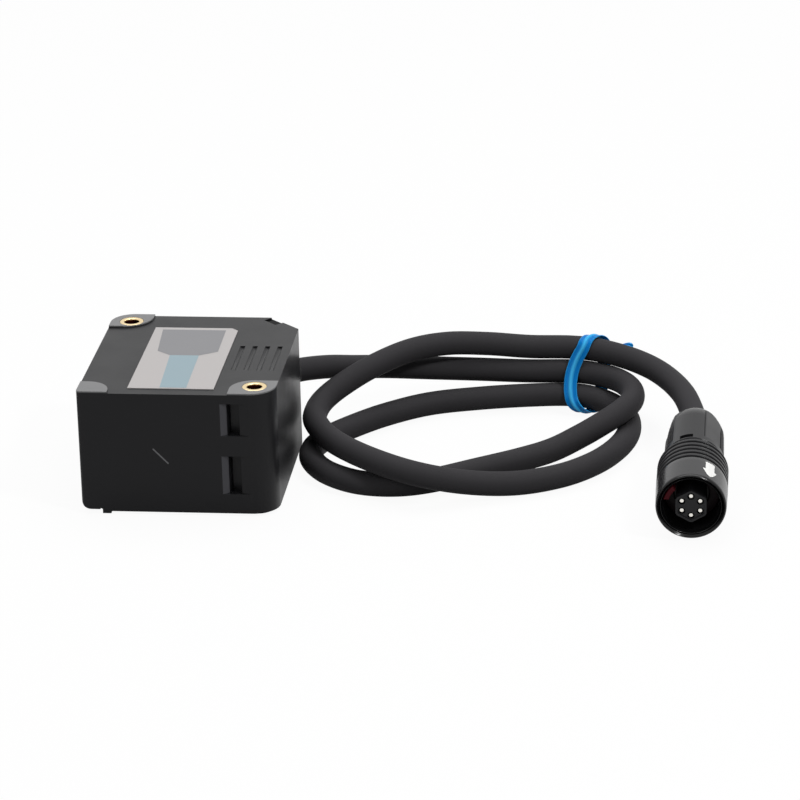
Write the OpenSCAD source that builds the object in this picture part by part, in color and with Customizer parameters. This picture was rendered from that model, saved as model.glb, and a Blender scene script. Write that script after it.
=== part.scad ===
// Compact laser displacement sensor head with a captive lead and a round six-pole plug.
// Frame: X to the right, Y to the back, Z up, label side up.
// Origin: middle of the housing's box, on the plane of its feet. Millimetres.

/* [Housing] */
// Width of the housing, across the label
body_w = 42; // [40:0.5:50]
// Depth of the housing, from the pocketed face to the back
body_d = 48; // [46:0.5:56]
// Height of the case, from its lower edge to its top face
body_h = 26.8; // [26:0.2:32]
// Thickness of the case's side walls
wall = 2.2; // [1.8:0.1:2.8]
// Thickness of the case's roof
roof_t = 2.2; // [1.8:0.1:2.6]
// Height of the feet below the case's lower edge
foot_h = 0.5; // [0.3:0.1:1]
// Height of the raised pads on the top face
pad_h = 0.4; // [0.2:0.1:0.8]
// Radius of the corner at the front sleeve
front_r = 5.5; // [3:0.5:7]
// Radius of the corner at the rear sleeve
rear_r = 5; // [3:0.5:7]
// Radius of the bezel's front edge
edge_r = 0.8; // [0.3:0.1:1.5]
// Leg of the chamfer that the lead leaves from
chamfer = 7; // [6.5:0.5:8]

/* [Mounting] */
// Distance of each sleeve's axis from the two nearest sides
hole_margin = 4.6; // [4.2:0.1:5.5]
// Outer diameter of a mounting sleeve
sleeve_d = 5.3; // [4.8:0.1:6]
// Hole in a mounting sleeve, for an M3 screw
hole_d = 3.3; // [3.1:0.1:3.6]
// Case material around a sleeve
column_wall = 2; // [1.5:0.1:2.5]

/* [Closure] */
// Thickness of the base cover
cover_t = 1.5; // [1.2:0.1:2]
// Thickness of the seal between cover and case
seal_t = 0.8; // [0.5:0.1:1.2]
// Outer lip of the case that the cover sits inside
lip = 1.1; // [0.8:0.1:1.4]
// Clearance of pieces that drop in
gap = 0.05; // [0.02:0.01:0.1]
// Thread diameter of the small screws
screw_d = 2; // [1.6:0.2:2.4]
// Length of a cover screw
screw_l = 8; // [6:0.5:10]

/* [Front pockets and grooves] */
// Depth of the two cored pockets
pocket_deep = 2.8; // [2:0.1:3.2]
// Width of a pocket at the face
pocket_w = 4.1; // [3.5:0.1:4.5]
// Sloped part of a pocket's width
pocket_ramp = 1.9; // [1:0.1:2.5]
// Depth of the shallow scoops beside a pocket
pocket_scoop = 0.5; // [0.2:0.05:0.8]
// Distance of the pockets from the right side
pocket_from_right = 7.4; // [7:0.1:9]
// Number of blind grooves on the top face
groove_n = 4; // [2:1:5]
// Pitch of the grooves
groove_pitch = 2.72; // [2:0.02:3]
// Width of a groove
groove_w = 1.1; // [0.8:0.05:1.4]
// Length of a groove
groove_l = 14.8; // [10:0.2:18]
// Depth of a groove
groove_deep = 0.35; // [0.2:0.05:0.5]

/* [Bezel and windows] */
// Thickness of the bezel
bezel_t = 4; // [3.5:0.1:5]
// Distance of the bezel's end from the back
bezel_end = 10.5; // [9.5:0.1:12]
// Case roof over the bezel
bezel_roof = 1; // [0.8:0.1:1.5]
// Radius of the bezel's lower outer edge
bezel_r = 2; // [1:0.1:2.5]
// Height of the optical axes above the feet
axis_h = 14; // [13.5:0.1:14.5]
// Diameter of the laser opening
laser_open_d = 7; // [5:0.5:7.5]
// Width of the receiver opening
recv_open_w = 12; // [10:0.5:13]
// Height of the receiver opening
recv_open_h = 11; // [9:0.5:13]
// Thickness of the glass panes
glass_t = 1.2; // [0.8:0.1:1.6]
// Rim of a pane behind its opening
glass_rim = 1; // [0.6:0.1:1.2]

/* [Optics] */
// Thickness of the optics block's front plate
block_t = 6; // [5:0.5:7]
// Clearance of the optics block from the front wall
block_gap = 1.8; // [1:0.1:2.5]
// Clearance of the optics block from the rear sleeve's column
block_end_gap = 2.25; // [1:0.05:3]
// Block material outside the two barrels
block_rim = 1.5; // [1:0.1:2]
// Outer diameter of the diode holder
holder_d = 10; // [9:0.5:11]
// Length of the diode holder
holder_l = 14; // [12:0.5:16]
// Angle between the receiver's axis and the laser's
recv_angle = 14; // [10:1:16]
// Outer diameter of the receiver's lens holder
lens_holder_d = 12.8; // [12:0.1:13.4]
// Diameter of the receiver lens
lens_d = 11; // [9:0.5:11]
// Distance from the lens holder's middle to the detector
detector_dist = 18; // [16:0.5:19]
// Thickness of the circuit boards
board_t = 1.6; // [1:0.1:1.6]

/* [Label] */
// Width of the label
label_w = 18.4; // [12:0.1:19]
// Length of the label
label_l = 37.2; // [30:0.1:38]
// Thickness of the label
label_t = 0.15; // [0.1:0.05:0.3]

/* [Lead and plug] */
// Diameter of the lead
cord_d = 5.3; // [5:0.1:5.4]
// Largest diameter of the plug, at its sleeve
plug_d = 15; // [14.6:0.1:15.2]
// Length of the plug's sliding sleeve
sleeve_len = 17; // [16:0.5:18]
// Travel of the sliding sleeve
sleeve_travel = 2; // [1.5:0.5:2.5]
// Outer diameter of the plug's inner shell
shell_d = 12.8; // [12.6:0.1:13]
// Outer diameter of the back nut
nut_d = 13; // [12.6:0.1:13.2]
// Length of the whole plug
plug_len = 38.4; // [37:0.2:42]
// Number of contacts
contact_n = 6; // [3:1:7]
// Diameter of the contact circle
contact_pcd = 4.4; // [3.8:0.1:4.4]

/* [Hidden] */
$fn = 64;
eps = 0.01;

// Corners of the housing's box and its main levels
x0 = -body_w / 2;
x1 = body_w / 2;
y0 = -body_d / 2;
y1 = body_d / 2;
z_base = foot_h;
z_top = z_base + body_h;
z_pad = z_top + pad_h;
z_roof = z_top - roof_t;
z_cover = z_base + cover_t;
z_ledge = z_cover + seal_t;

// Bezel's inner face and the back of the optics block's plate
bezel_x = x0 + bezel_t;
block_x1 = bezel_x + block_t;

// Pockets and grooves
pocket_x1 = x1 - pocket_from_right;
pocket_x0 = pocket_x1 - pocket_w;
pocket_back = 1.6;
pockets = [[17.6, 7.2], [4.4, 8.6]];
groove_side = 2.5;
groove_front = 15;
groove_x = x1 - groove_side;
groove_y = y0 + groove_front;

// Sleeves, cover screws and board posts
sleeve_front = [x1 - hole_margin, y0 + hole_margin];
sleeve_rear = [x0 + hole_margin, y1 - hole_margin];
column_r = sleeve_d / 2 + column_wall;
boss_r = screw_d / 2 + 1.6;
boss_y = wall + 1.6;
boss_z1 = z_base + screw_l + 1.5;
bosses = [
    [block_x1 + 4, y0 + boss_y], [pocket_x0 - pocket_back - boss_r - 1, y0 + boss_y],
    [block_x1 + 6, y1 - boss_y], [x1 - chamfer - 7, y1 - boss_y]
];
screw_r = screw_d / 2;
head_r = 0.95 * screw_d;
head_h = 0.5 * screw_d;

// Bezel, with its inner face, and the two optical axes
bezel_y = y1 - bezel_end;
bezel_l = bezel_y - y0;
bezel_z0 = z_base + 0.4;
bezel_z1 = z_top - bezel_roof;
block_y0 = y0 + wall + block_gap;
block_y1 = sleeve_rear.y - column_r - block_end_gap;
laser_y = block_y0 + block_rim + holder_d / 2;
recv_y = block_y1 - block_rim - lens_holder_d / 2;

// Optics block and what it carries
recv_at = [bezel_x + block_t / 2, recv_y, axis_h];
block_half = lens_holder_d / 2 + block_rim + 0.1;
block_z0 = axis_h - block_half;
block_z1 = axis_h + block_half;
floor_t = 2;
floor_z = block_z0 + floor_t;
holder_bore = holder_d / 2 - 1.4;
can_r = 2.05;
flange_r = 2.8;
diode_x = bezel_x + holder_l;
diode_t = 1.2;
pin_l = 4;
pin_pcd = 2.6;
lead_r = 0.25;
laser_board_x = diode_x + diode_t + pin_l - 1.2;
laser_board_w = holder_d - 2;
laser_board_t = 0.75 * board_t;
lens_r = lens_d / 2;
lens_t = 3;
ring_t = 1;
barrel_s0 = -1;
barrel_s1 = 8;
chip_t = 1.2;
chip_w = 9;
chip_h = 5;
det_board_w = lens_holder_d + 1.2;
det_top_gap = 1.4;
det_back = detector_dist + chip_t + board_t;
floor_rim = 1;
floor_x1 = recv_at.x + (det_back + floor_rim) * cos(recv_angle);
floor_y = recv_y + (detector_dist + chip_t) * sin(recv_angle);
floor_w = det_board_w + 2 * floor_rim;
post_d = 5;

// Main board below the roof
post_h = 1.1;
board_z1 = z_roof - post_h;
board_z0 = board_z1 - board_t;
post_front = 19;
board_posts = [
    [block_x1 + post_d, laser_y + 0.5], [x1 - wall - post_d + 1.2, y0 + post_front],
    [block_x1 + post_d + 1, y1 - wall - 9.3]
];
connector_size = [5.5, 5, 2.4];
connector_gap = 1.2;
connector_at = [
    recv_at.x + det_back * cos(recv_angle) + connector_gap + connector_size.x / 2, y1 - chamfer - 2
];

// Chamfer frame: its middle, the gland's height and the indicator's place along it
chamfer_at = [x1 - chamfer / 2, y1 - chamfer / 2];
gland_h = 15;
gland_z = z_base + gland_h;
gland_neck_r = cord_d / 2 + 0.8;
gland_out = 2;
lens_along = -2.6;
lens_w = 4;
lens_deep = 2.1;
lens_sink = 0.4;
lens_z0 = board_z1;
guide_w = 1.6;
guide_l = 1.5;
guide_h = 0.8;

// Plug: centre of its mouth, its turn in plan and the rise of its back end
plug_at = [108.6, -32.9, 7.65];
plug_yaw = 0.6;
plug_rise = 4.5;
plug_dir = [-cos(plug_rise) * sin(plug_yaw), cos(plug_rise) * cos(plug_yaw), sin(plug_rise)];
sleeve_bore_r = shell_d / 2 + gap;
shell_bore_r = shell_d / 2 - 0.5;
shell_len = sleeve_len + 0.3;
thread_r = 4.4;
tail_len = shell_len + 7.7;
mouth_deep = 7;
flange_s = 11;
insert_s = 0.3;
insert_r = 3.55;
insert_flat = 3.2;
insert_rim = 0.4;
insert_sunk = 0.25;
pin_r = 0.4;
pin_s = insert_s + 0.5;
nut_s = shell_len;
collar_r = shell_d / 2 - 0.1;
collar_s = sleeve_len + sleeve_travel + 0.4;
grip_s = collar_s + 1.8;
grip_floor = 5.3;
grip_w = 6;
dome_len = 7;
nut_taper = 0.2;
nut_mouth_r = cord_d / 2 + 0.35;
cord_bore_r = cord_d / 2 + 0.1;
seal_s = tail_len + 0.8;
seal_len = 3.6;

// Lead: its route from inside the gland to inside the back nut, laid in two loops
cord_sides = 10;
laid = [
    [15.5, 18.5, 15.5], [19, 22, 15.5], [22, 25.2, 15], [26, 30.2, 13.6], [30.8, 35.4, 11.7], [38, 40.3, 10],
    [47, 43.6, 8.6], [58, 44.8, 8.1], [69, 44.6, 8.2], [79, 43.8, 8.4],
    [85, 42.3, 8.25], [90, 38.7, 8.15], [93, 33.2, 8.1], [93.5, 26.8, 8], [91.5, 20.5, 7.9], [87.5, 15.5, 6.8],
    [82.5, 12, 4.9], [77, 8.5, 3.2], [70.5, 4, 2.66], [61, -2.8, 2.66], [52, -9, 2.66], [44.5, -11.5, 2.66],
    [36.5, -10.5, 2.66], [29.5, -5.5, 2.66], [25.3, 1.5, 2.66], [24.6, 8, 2.66], [26.5, 14, 2.66],
    [31.5, 21.5, 2.66], [38.5, 29.5, 2.66], [47.5, 36.2, 2.75], [58.5, 39.6, 2.95], [70, 41.2, 3.3],
    [79, 41.3, 3.55], [85, 39.6, 3.3], [89.8, 35.6, 2.8], [92.5, 29, 2.66], [93, 20.5, 2.66], [91, 11.5, 2.66],
    [86.5, 2.5, 2.66], [79.5, -5, 2.66], [70, -9.8, 2.75], [59.5, -13.4, 4.35], [49, -15.6, 7.1],
    [38.5, -10.6, 8.45], [30, -0.4, 8.2], [25.2, 9.8, 8.1], [24.4, 16.2, 8.2], [25.6, 21.6, 9.1],
    [29.2, 26.2, 10.9], [35.2, 31.3, 13.3], [43, 38.3, 14.7], [51, 42.9, 14.8], [60, 45.5, 14.3],
    [69.5, 46.3, 13.7], [79, 45.9, 13.55], [85.5, 44.3, 13.2], [92, 41.1, 12.65], [97.5, 36.2, 12.2],
    [101.7, 30, 11.8], [104.9, 22.5, 11.5], [106.8, 14.6, 11.3]
];
route = concat(laid, [
    plug_at + (plug_len + 1.1) * plug_dir, plug_at + (plug_len - 4.4) * plug_dir,
    plug_at + (tail_len - 3) * plug_dir
]);
core_r = 1.2;
core_route = [
    route[0], [13.5, 16.5, 15.5], [connector_at.x + 1.5, connector_at.y + 0.5, 16.3],
    [connector_at.x + 0.3, connector_at.y, 18],
    [connector_at.x, connector_at.y, board_z0 - connector_size.z - 0.2]
];

// Tie: middles of the low, middle and high strand where its strip passes in front and behind
tie_front = [[79.2, 40.75, 3.5], [79.5, 43.4, 8.4], [82, 44.85, 13.5]];
tie_back = [[85.6, 40.4, 3.35], [86, 42.9, 8.2], [86.6, 45.2, 13.15]];
tie_sag = [0, -1.5, 0];
tie_r = cord_d / 2 + 0.14;
tie_w = 2.9;
tie_t = 0.4;
tie_steps = 12;
tie_tail = [[86.2, 47.6, 12], [93, 49.6, 12.6]];
tie_tail_r = 0.8;

// Half of the housing's outline is straight: this is its plan, drawn a given distance inside the outer face
module outline(inset = 0) {
    cut = chamfer + inset * sqrt(2) + 1;
    difference() {
        translate([x0 + inset, y0 + inset]) square([body_w - 2 * inset, body_d - 2 * inset]);
        round_off([x1 - inset, y0 + inset], front_r - inset, [1, -1]);
        round_off([x0 + inset, y1 - inset], rear_r - inset, [-1, 1]);
        round_off([x0 + inset, y0 + inset], edge_r - inset, [-1, -1]);
        polygon([[x1 - cut, y1 + 1], [x1 + 1, y1 + 1], [x1 + 1, y1 - cut]]);
    }
}

// What is cut away outside an arc of the given radius at a corner that points along dir
module round_off(at, r, dir) {
    if (r > 0)
        translate([at.x - dir.x * r, at.y - dir.y * r])
            mirror([dir.x < 0 ? 1 : 0, 0]) mirror([0, dir.y < 0 ? 1 : 0])
                difference() {
                    square(r + 1);
                    circle(r);
                }
}

// A raised pad in one corner of the top face, with its free corner rounded
module pad_plan(corner, size, dir, r) {
    far = [corner.x - dir.x * size.x, corner.y - dir.y * size.y];
    intersection() {
        outline();
        difference() {
            translate([min(corner.x, far.x), min(corner.y, far.y)]) square(size);
            round_off(far, r, [-dir.x, -dir.y]);
        }
    }
}

module columns_plan(grow = 0) {
    for (at = [sleeve_front, sleeve_rear])
        translate(at) circle(column_r + grow);
}

module bosses_plan(grow = 0) {
    for (at = bosses)
        translate(at) circle(boss_r + grow);
}

module pocket_block_plan(grow = 0) {
    translate([pocket_x0 - pocket_back - grow, y0])
        square([pocket_w + 2 * pocket_back + 2 * grow, pocket_deep + pocket_back + grow]);
}

module bezel_plan(grow = 0) {
    translate([x0 - 1, y0 - 1]) square([bezel_t + 1 + grow, bezel_l + 1 + grow]);
}

module rise(z0, z1) {
    translate([0, 0, z0]) linear_extrude(z1 - z0) children();
}

// Axis along X at a point, for the laser's pieces: local Z runs to the right
module along_x(x) {
    translate([x, laser_y, axis_h]) rotate([0, 90, 0]) children();
}

// Axis of the receiver: local Z runs from the lens towards the detector, local X points down
module along_receiver(s) {
    translate(recv_at) rotate([0, 0, recv_angle]) rotate([0, 90, 0]) translate([0, 0, s]) children();
}

// Chamfer's own frame: local X out of the chamfer, local Y along it, Z up
module at_chamfer() {
    translate(chamfer_at) rotate([0, 0, 45]) children();
}

module at_plug() {
    translate(plug_at) rotate([0, 0, plug_yaw]) rotate([plug_rise - 90, 0, 0]) children();
}

module case_body() {
    rise(z_base, z_top) outline();
    rise(z_top, z_pad) {
        pad_plan([x0, y1], [9.1, 7.7], [-1, 1], 6);
        pad_plan([x1, y0], [9.8, 8.1], [1, -1], 5);
        pad_plan([x0, y0], [6.6, 6], [-1, -1], 5);
    }
    rise(0, z_base) feet_plan();
}

module feet_plan() {
    for (at = [sleeve_front, sleeve_rear])
        translate(at) circle(sleeve_d / 2 + 0.6);
    translate([bezel_x + 0.5, y0]) square([1.8, lip]);
    translate([x1 - chamfer - 6, y1 - lip]) square([4, lip]);
}

module cavity() {
    rise(z_base - 1, z_roof)
        difference() {
            outline(wall);
            columns_plan();
            pocket_block_plan();
        }
    rise(z_base - eps, z_ledge)
        difference() {
            outline(lip);
            columns_plan();
        }
    rise(-1, bezel_z1) bezel_plan();
    translate([bezel_x - 1, y0 - 1, z_base - 1]) cube([1.5, wall + 2, 1.6]);
}

// A pocket: a shallow scoop, a steep left side, the full depth, then a shallow scoop on the right
module pocket_cut(z, h) {
    lead_in = 0.75 * pocket_ramp;
    run_out = 1.2 * pocket_ramp;
    translate([0, 0, z_base + z])
        linear_extrude(h)
            polygon([
                [pocket_x0, y0 - eps], [pocket_x0 + lead_in, y0 + pocket_scoop],
                [pocket_x0 + pocket_ramp, y0 + pocket_deep], [pocket_x1, y0 + pocket_deep],
                [pocket_x1, y0 + 0.7 * pocket_scoop], [pocket_x1 + run_out, y0 - eps]
            ]);
}

// Blind grooves: long valleys with a round bottom
module groove_cuts() {
    valley_r = (groove_w * groove_w / 4 + groove_deep * groove_deep) / (2 * groove_deep);
    for (i = [0 : groove_n - 1])
        translate([groove_x - i * groove_pitch, groove_y, z_top - groove_deep + valley_r])
            rotate([-90, 0, 0]) cylinder(h = groove_l, r = valley_r);
}

// Room for the indicator at the chamfer, drawn larger by the given clearance
module indicator_form(grow = 0) {
    lens_box(grow);
    at_chamfer()
        translate([-lens_deep - guide_l - grow, -lens_along - guide_w / 2 - grow, lens_z0 + 0.1 - grow])
            cube([guide_l + 0.5, guide_w + 2 * grow, guide_h + 2 * grow]);
}

// The indicator's own block, without the light guide
module lens_box(grow) {
    at_chamfer()
        translate([-lens_deep - grow, -lens_along - lens_w / 2 - grow, lens_z0 + 0.1 - grow])
            cube([lens_deep + 2 * grow, lens_w + 2 * grow, z_top - lens_sink - lens_z0 + 2 * grow]);
}

module case() {
    color("#46464a") {
        difference() {
            case_body();
            cavity();
            for (at = [sleeve_front, sleeve_rear])
                translate([at.x, at.y, -1]) cylinder(h = z_pad + 2, r = sleeve_d / 2 + gap / 5);
            for (p = pockets)
                pocket_cut(p[0], p[1]);
            groove_cuts();
            indicator_form(gap);
            translate([0, 0, lens_sink / 2]) lens_box(gap);
            translate([0, 0, lens_sink + 0.1]) lens_box(gap);
            at_chamfer() translate([-wall - 1, 0, gland_z]) rotate([0, 90, 0])
                cylinder(h = wall + 2, r = gland_neck_r + gap);
        }
        board_post_ring();
        screw_bosses();
    }
}

// Bosses on the front and rear walls that the cover screws bite into
module screw_bosses() {
    for (at = bosses)
        translate([at.x, at.y, z_ledge])
            difference() {
                cylinder(h = boss_z1 - z_ledge, r = boss_r);
                translate([0, 0, -1]) cylinder(h = boss_z1 - z_ledge - 0.5, r = screw_r + gap);
            }
}

// Posts under the roof that the main board is screwed to
module board_post_ring() {
    for (at = board_posts)
        translate([at.x, at.y, board_z1])
            difference() {
                cylinder(h = post_h + eps, r = post_d / 2);
                translate([0, 0, -1]) cylinder(h = post_h + 1, r = screw_r + gap);
            }
}

module cover_plan(edge) {
    difference() {
        outline(edge);
        bezel_plan(gap);
        columns_plan(gap);
    }
}

module base_cover() {
    color("#3c3c40")
        difference() {
            union() {
                rise(z_base, z_cover) cover_plan(lip + gap);
                for (at = bosses)
                    translate([at.x, at.y, z_cover - eps]) cylinder(h = seal_t + eps, r = boss_r - 1);
                for (at = block_posts())
                    translate([at.x, at.y, z_cover - eps])
                        cylinder(h = block_z0 - z_cover + eps, r = post_d / 2);
            }
            for (at = bosses)
                translate([at.x, at.y, z_base]) {
                    translate([0, 0, -1]) cylinder(h = screw_l, r = screw_r + gap);
                    translate([0, 0, -eps]) cylinder(h = head_h + eps, r1 = head_r + gap, r2 = screw_r + gap);
                }
        }
}

function block_posts() = [
    [bezel_x + block_t / 2, block_y0 + post_d / 2 + 0.5],
    [bezel_x + block_t / 2, block_y1 - post_d / 2 - 0.5],
    [floor_x1 - post_d / 2 - floor_rim, floor_y]
];

// Flat ring under the case's walls, led round the inside of both columns
module cover_seal() {
    color("#1d1d1f")
        rise(z_cover, z_ledge)
            difference() {
                cover_plan(lip + gap);
                difference() {
                    outline(wall);
                    columns_plan(gap + wall - lip);
                }
                bosses_plan(gap - 1);
            }
}

// Countersunk screw with a cross recess, its head down at z = 0
module flat_screw(length) {
    difference() {
        union() {
            cylinder(h = head_h, r1 = head_r, r2 = screw_r);
            cylinder(h = length, r = screw_r);
        }
        for (a = [0, 90])
            rotate([0, 0, a]) translate([-head_r * 0.6, -0.15, -eps]) cube([head_r * 1.2, 0.3, head_h * 0.6]);
    }
}

module cover_screws() {
    color("#9a9a9c")
        for (at = bosses)
            translate([at.x, at.y, z_base]) flat_screw(screw_l - 1.2);
}

// The bezel's section across its length, with the lower outer edge rounded
module bezel_section() {
    difference() {
        translate([x0, bezel_z0]) square([bezel_t, bezel_z1 - bezel_z0]);
        round_off([x0, bezel_z0], bezel_r, [-1, -1]);
    }
}

module receiver_hole(w, h, x, depth) {
    translate([x, recv_y - w / 2, axis_h - h / 2]) cube([depth, w, h]);
}

module front_bezel() {
    color("#333337")
        difference() {
            intersection() {
                rise(0, z_top) outline();
                translate([0, bezel_y, 0]) rotate([90, 0, 0]) linear_extrude(bezel_l) bezel_section();
            }
            along_x(x0 - 1) cylinder(h = bezel_t + 2, r = laser_open_d / 2);
            along_x(x0 - eps) cylinder(h = 1, r1 = laser_open_d / 2 + 1, r2 = laser_open_d / 2);
            along_x(bezel_x - glass_t) cylinder(h = glass_t + 1, r = laser_open_d / 2 + glass_rim);
            receiver_hole(recv_open_w, recv_open_h, x0 - 1, bezel_t + 2);
            receiver_hole(recv_open_w + 2, recv_open_h + 2, x0 - 1, 1.8);
            receiver_hole(recv_open_w + 2 * glass_rim, recv_open_h + 2 * glass_rim,
                          bezel_x - glass_t, glass_t + 1);
        }
}

module laser_window() {
    color("#5a1f1f")
        along_x(bezel_x - glass_t) cylinder(h = glass_t, r = laser_open_d / 2 + glass_rim - gap);
}

module receiver_window() {
    color("#301418")
        receiver_hole(recv_open_w + 2 * glass_rim - 2 * gap, recv_open_h + 2 * glass_rim - 2 * gap,
                      bezel_x - glass_t, glass_t);
}

module mount_sleeve(at) {
    color("#d8b46a")
        translate([at.x, at.y, 0])
            difference() {
                cylinder(h = z_pad, r = sleeve_d / 2);
                translate([0, 0, -1]) cylinder(h = z_pad + 2, r = hole_d / 2);
            }
}

module mount_sleeve_front() { mount_sleeve(sleeve_front); }

module mount_sleeve_rear() { mount_sleeve(sleeve_rear); }

module label() {
    x = x0 + 10.5;
    y = y0 + 3.15;
    clip = 1.4;
    color("#e9e7e4")
        rise(z_top, z_top + label_t)
            polygon([
                [x, y], [x + label_w, y], [x + label_w, y + label_l - clip],
                [x + label_w - clip, y + label_l], [x, y + label_l]
            ]);
}

module indicator_lens() {
    color("#18181a") indicator_form();
}

module indicator_led() {
    color("#d8d8c8")
        at_chamfer() translate([-lens_deep - guide_l - 1.6, -lens_along - guide_w / 2, board_z1])
            cube([1.5, guide_w, guide_h]);
}

module optics_block() {
    color("#8c8c90")
        difference() {
            union() {
                translate([bezel_x, block_y0, block_z0])
                    cube([block_t, block_y1 - block_y0, block_z1 - block_z0]);
                translate([block_x1 - floor_rim, floor_y - floor_w / 2, block_z0])
                    cube([floor_x1 - block_x1 + floor_rim, floor_w, floor_t]);
            }
            along_x(bezel_x - 1) cylinder(h = block_t + 2, r = holder_d / 2 + gap / 5);
            along_receiver(-2 * block_t) cylinder(h = 5 * block_t, r = lens_holder_d / 2 + gap / 5);
        }
}

module diode_holder() {
    color("#b9a06a")
        along_x(bezel_x)
            rotate_extrude()
                polygon([
                    [holder_bore, 0], [holder_d / 2, 0], [holder_d / 2, block_t], [holder_d / 2 + 1, block_t],
                    [holder_d / 2 + 1, block_t + 1.5], [holder_d / 2, block_t + 1.5],
                    [holder_d / 2, holder_l], [can_r + gap, holder_l],
                    [can_r + gap, holder_l - 2.4], [holder_bore - 0.5, holder_l - 2.4],
                    [holder_bore - 0.5, 4.4], [holder_bore, 4.4]
                ]);
}

// Biconvex lens with its rim on the given radius and its middle at local z = t / 2
module lens_form(r, t) {
    bulge = 0.8;
    R = (r * r + bulge * bulge) / (2 * bulge);
    intersection() {
        cylinder(h = t, r = r);
        translate([0, 0, R]) sphere(R);
        translate([0, 0, t - R]) sphere(R);
    }
}

module collimator_lens() {
    color("#bcd4dc") along_x(bezel_x + 2) lens_form(holder_bore - gap, 2.4);
}

module laser_diode() {
    color("#c9b37c")
        along_x(diode_x) {
            cylinder(h = diode_t, r = flange_r);
            translate([0, 0, -2.2]) cylinder(h = 2.2 + eps, r = can_r);
            for (a = [90, 210, 330])
                rotate([0, 0, a]) translate([pin_pcd / 2, 0, diode_t - eps])
                    cylinder(h = pin_l, r = lead_r);
        }
}

module laser_board() {
    color("#2f6a3c")
        difference() {
            along_x(laser_board_x) translate([-laser_board_w / 2, -laser_board_w / 2, 0])
                cube([laser_board_w, laser_board_w, laser_board_t]);
            along_x(laser_board_x - 1)
                for (a = [90, 210, 330])
                    rotate([0, 0, a]) translate([pin_pcd / 2, 0, 0])
                        cylinder(h = laser_board_t + 2, r = lead_r + gap);
        }
}

module lens_holder() {
    seat_s = ring_t + lens_t;
    color("#4a4a4e")
        along_receiver(0)
            rotate_extrude()
                polygon([
                    [lens_r + gap, barrel_s0], [lens_holder_d / 2, barrel_s0], [lens_holder_d / 2, barrel_s1],
                    [lens_r - 0.6, barrel_s1], [lens_r - 0.6, seat_s], [lens_r + gap, seat_s]
                ]);
}

module receiver_lens() {
    color("#bcd4dc") along_receiver(ring_t) lens_form(lens_r, lens_t);
}

module lens_ring() {
    color("#2a2a2c")
        along_receiver(0)
            difference() {
                cylinder(h = ring_t, r = lens_r);
                translate([0, 0, -1]) cylinder(h = ring_t + 2, r = lens_r - 0.9);
            }
}

module position_detector() {
    color("#2b2b33")
        along_receiver(detector_dist) translate([-chip_h / 2, -chip_w / 2, 0]) cube([chip_h, chip_w, chip_t]);
}

module detector_board() {
    color("#2f6a3c")
        along_receiver(detector_dist + chip_t)
            translate([axis_h + det_top_gap - board_z0, -det_board_w / 2, 0])
                cube([board_z0 - det_top_gap - floor_z, det_board_w, board_t]);
}

module main_board() {
    color("#2f6a3c")
        difference() {
            rise(board_z0, board_z1)
                difference() {
                    outline(wall + 0.8);
                    columns_plan(0.4);
                    pocket_block_plan(0.4);
                    translate([x0 - 1, y0 - 1]) square([block_x1 - x0 + 1, body_d + 2]);
                }
            for (at = board_posts)
                translate([at.x, at.y, board_z0 - 1]) cylinder(h = board_t + 2, r = screw_r + gap);
        }
}

module board_screws() {
    color("#b0b0b2")
        for (at = board_posts)
            translate([at.x, at.y, board_z0 - head_h])
                difference() {
                    union() {
                        cylinder(h = head_h, r = head_r);
                        cylinder(h = head_h + board_t + post_h - 0.2, r = screw_r);
                    }
                    translate([-head_r, -0.2, -eps]) cube([2 * head_r, 0.4, 0.4]);
                }
}

module board_connector() {
    color("#e6e2d4")
        translate([connector_at.x - connector_size.x / 2, connector_at.y - connector_size.y / 2,
                   board_z0 - connector_size.z])
            cube(connector_size);
}

// Unit vector, and the frame of a ring that stands across a route
function unit(v) = v / norm(v);
function tangent(path, i) =
    unit(path[min(i + 1, len(path) - 1)] - path[max(i - 1, 0)]);
function ring_points(path, i, r, n) =
    let (t = tangent(path, i), side = unit(cross([0, 0, 1], t)), up = cross(t, side))
    [for (k = [0 : n - 1]) path[i] + r * (sin(360 * k / n) * side - cos(360 * k / n) * up)];

// Closed tube of n sides along a path
module tube(path, r, n) {
    last = len(path) - 1;
    points = [for (i = [0 : last]) each ring_points(path, i, r, n)];
    skin = [
        for (i = [0 : last - 1], k = [0 : n - 1])
            let (a = i * n + k, b = i * n + (k + 1) % n)
            each [[a, b, b + n], [a, b + n, a + n]]
    ];
    start = [[for (k = [n - 1 : -1 : 0]) k]];
    end = [[for (k = [0 : n - 1]) last * n + k]];
    polyhedron(points, concat(skin, start, end), convexity = 10);
}

// Short upright tube for the cores, whose last stretch stands on end
module lead_cores() {
    color("#b8b4a8") tube(core_route, core_r, 8);
}

module lead() {
    color("#1c1c1e") tube(route, cord_d / 2, cord_sides);
}

module cable_gland() {
    color("#151517")
        at_chamfer() translate([0, 0, gland_z]) rotate([0, 90, 0])
            rotate_extrude()
                polygon([
                    [cord_bore_r, -wall - 1.5], [gland_neck_r + 0.6, -wall - 1.5],
                    [gland_neck_r + 0.6, -wall], [gland_neck_r, -wall], [gland_neck_r, 0],
                    [gland_neck_r + 0.3, 0], [gland_neck_r + 0.3, 0.5],
                    [cord_d / 2 + 0.3, gland_out], [cord_bore_r, gland_out]
                ]);
}

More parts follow.
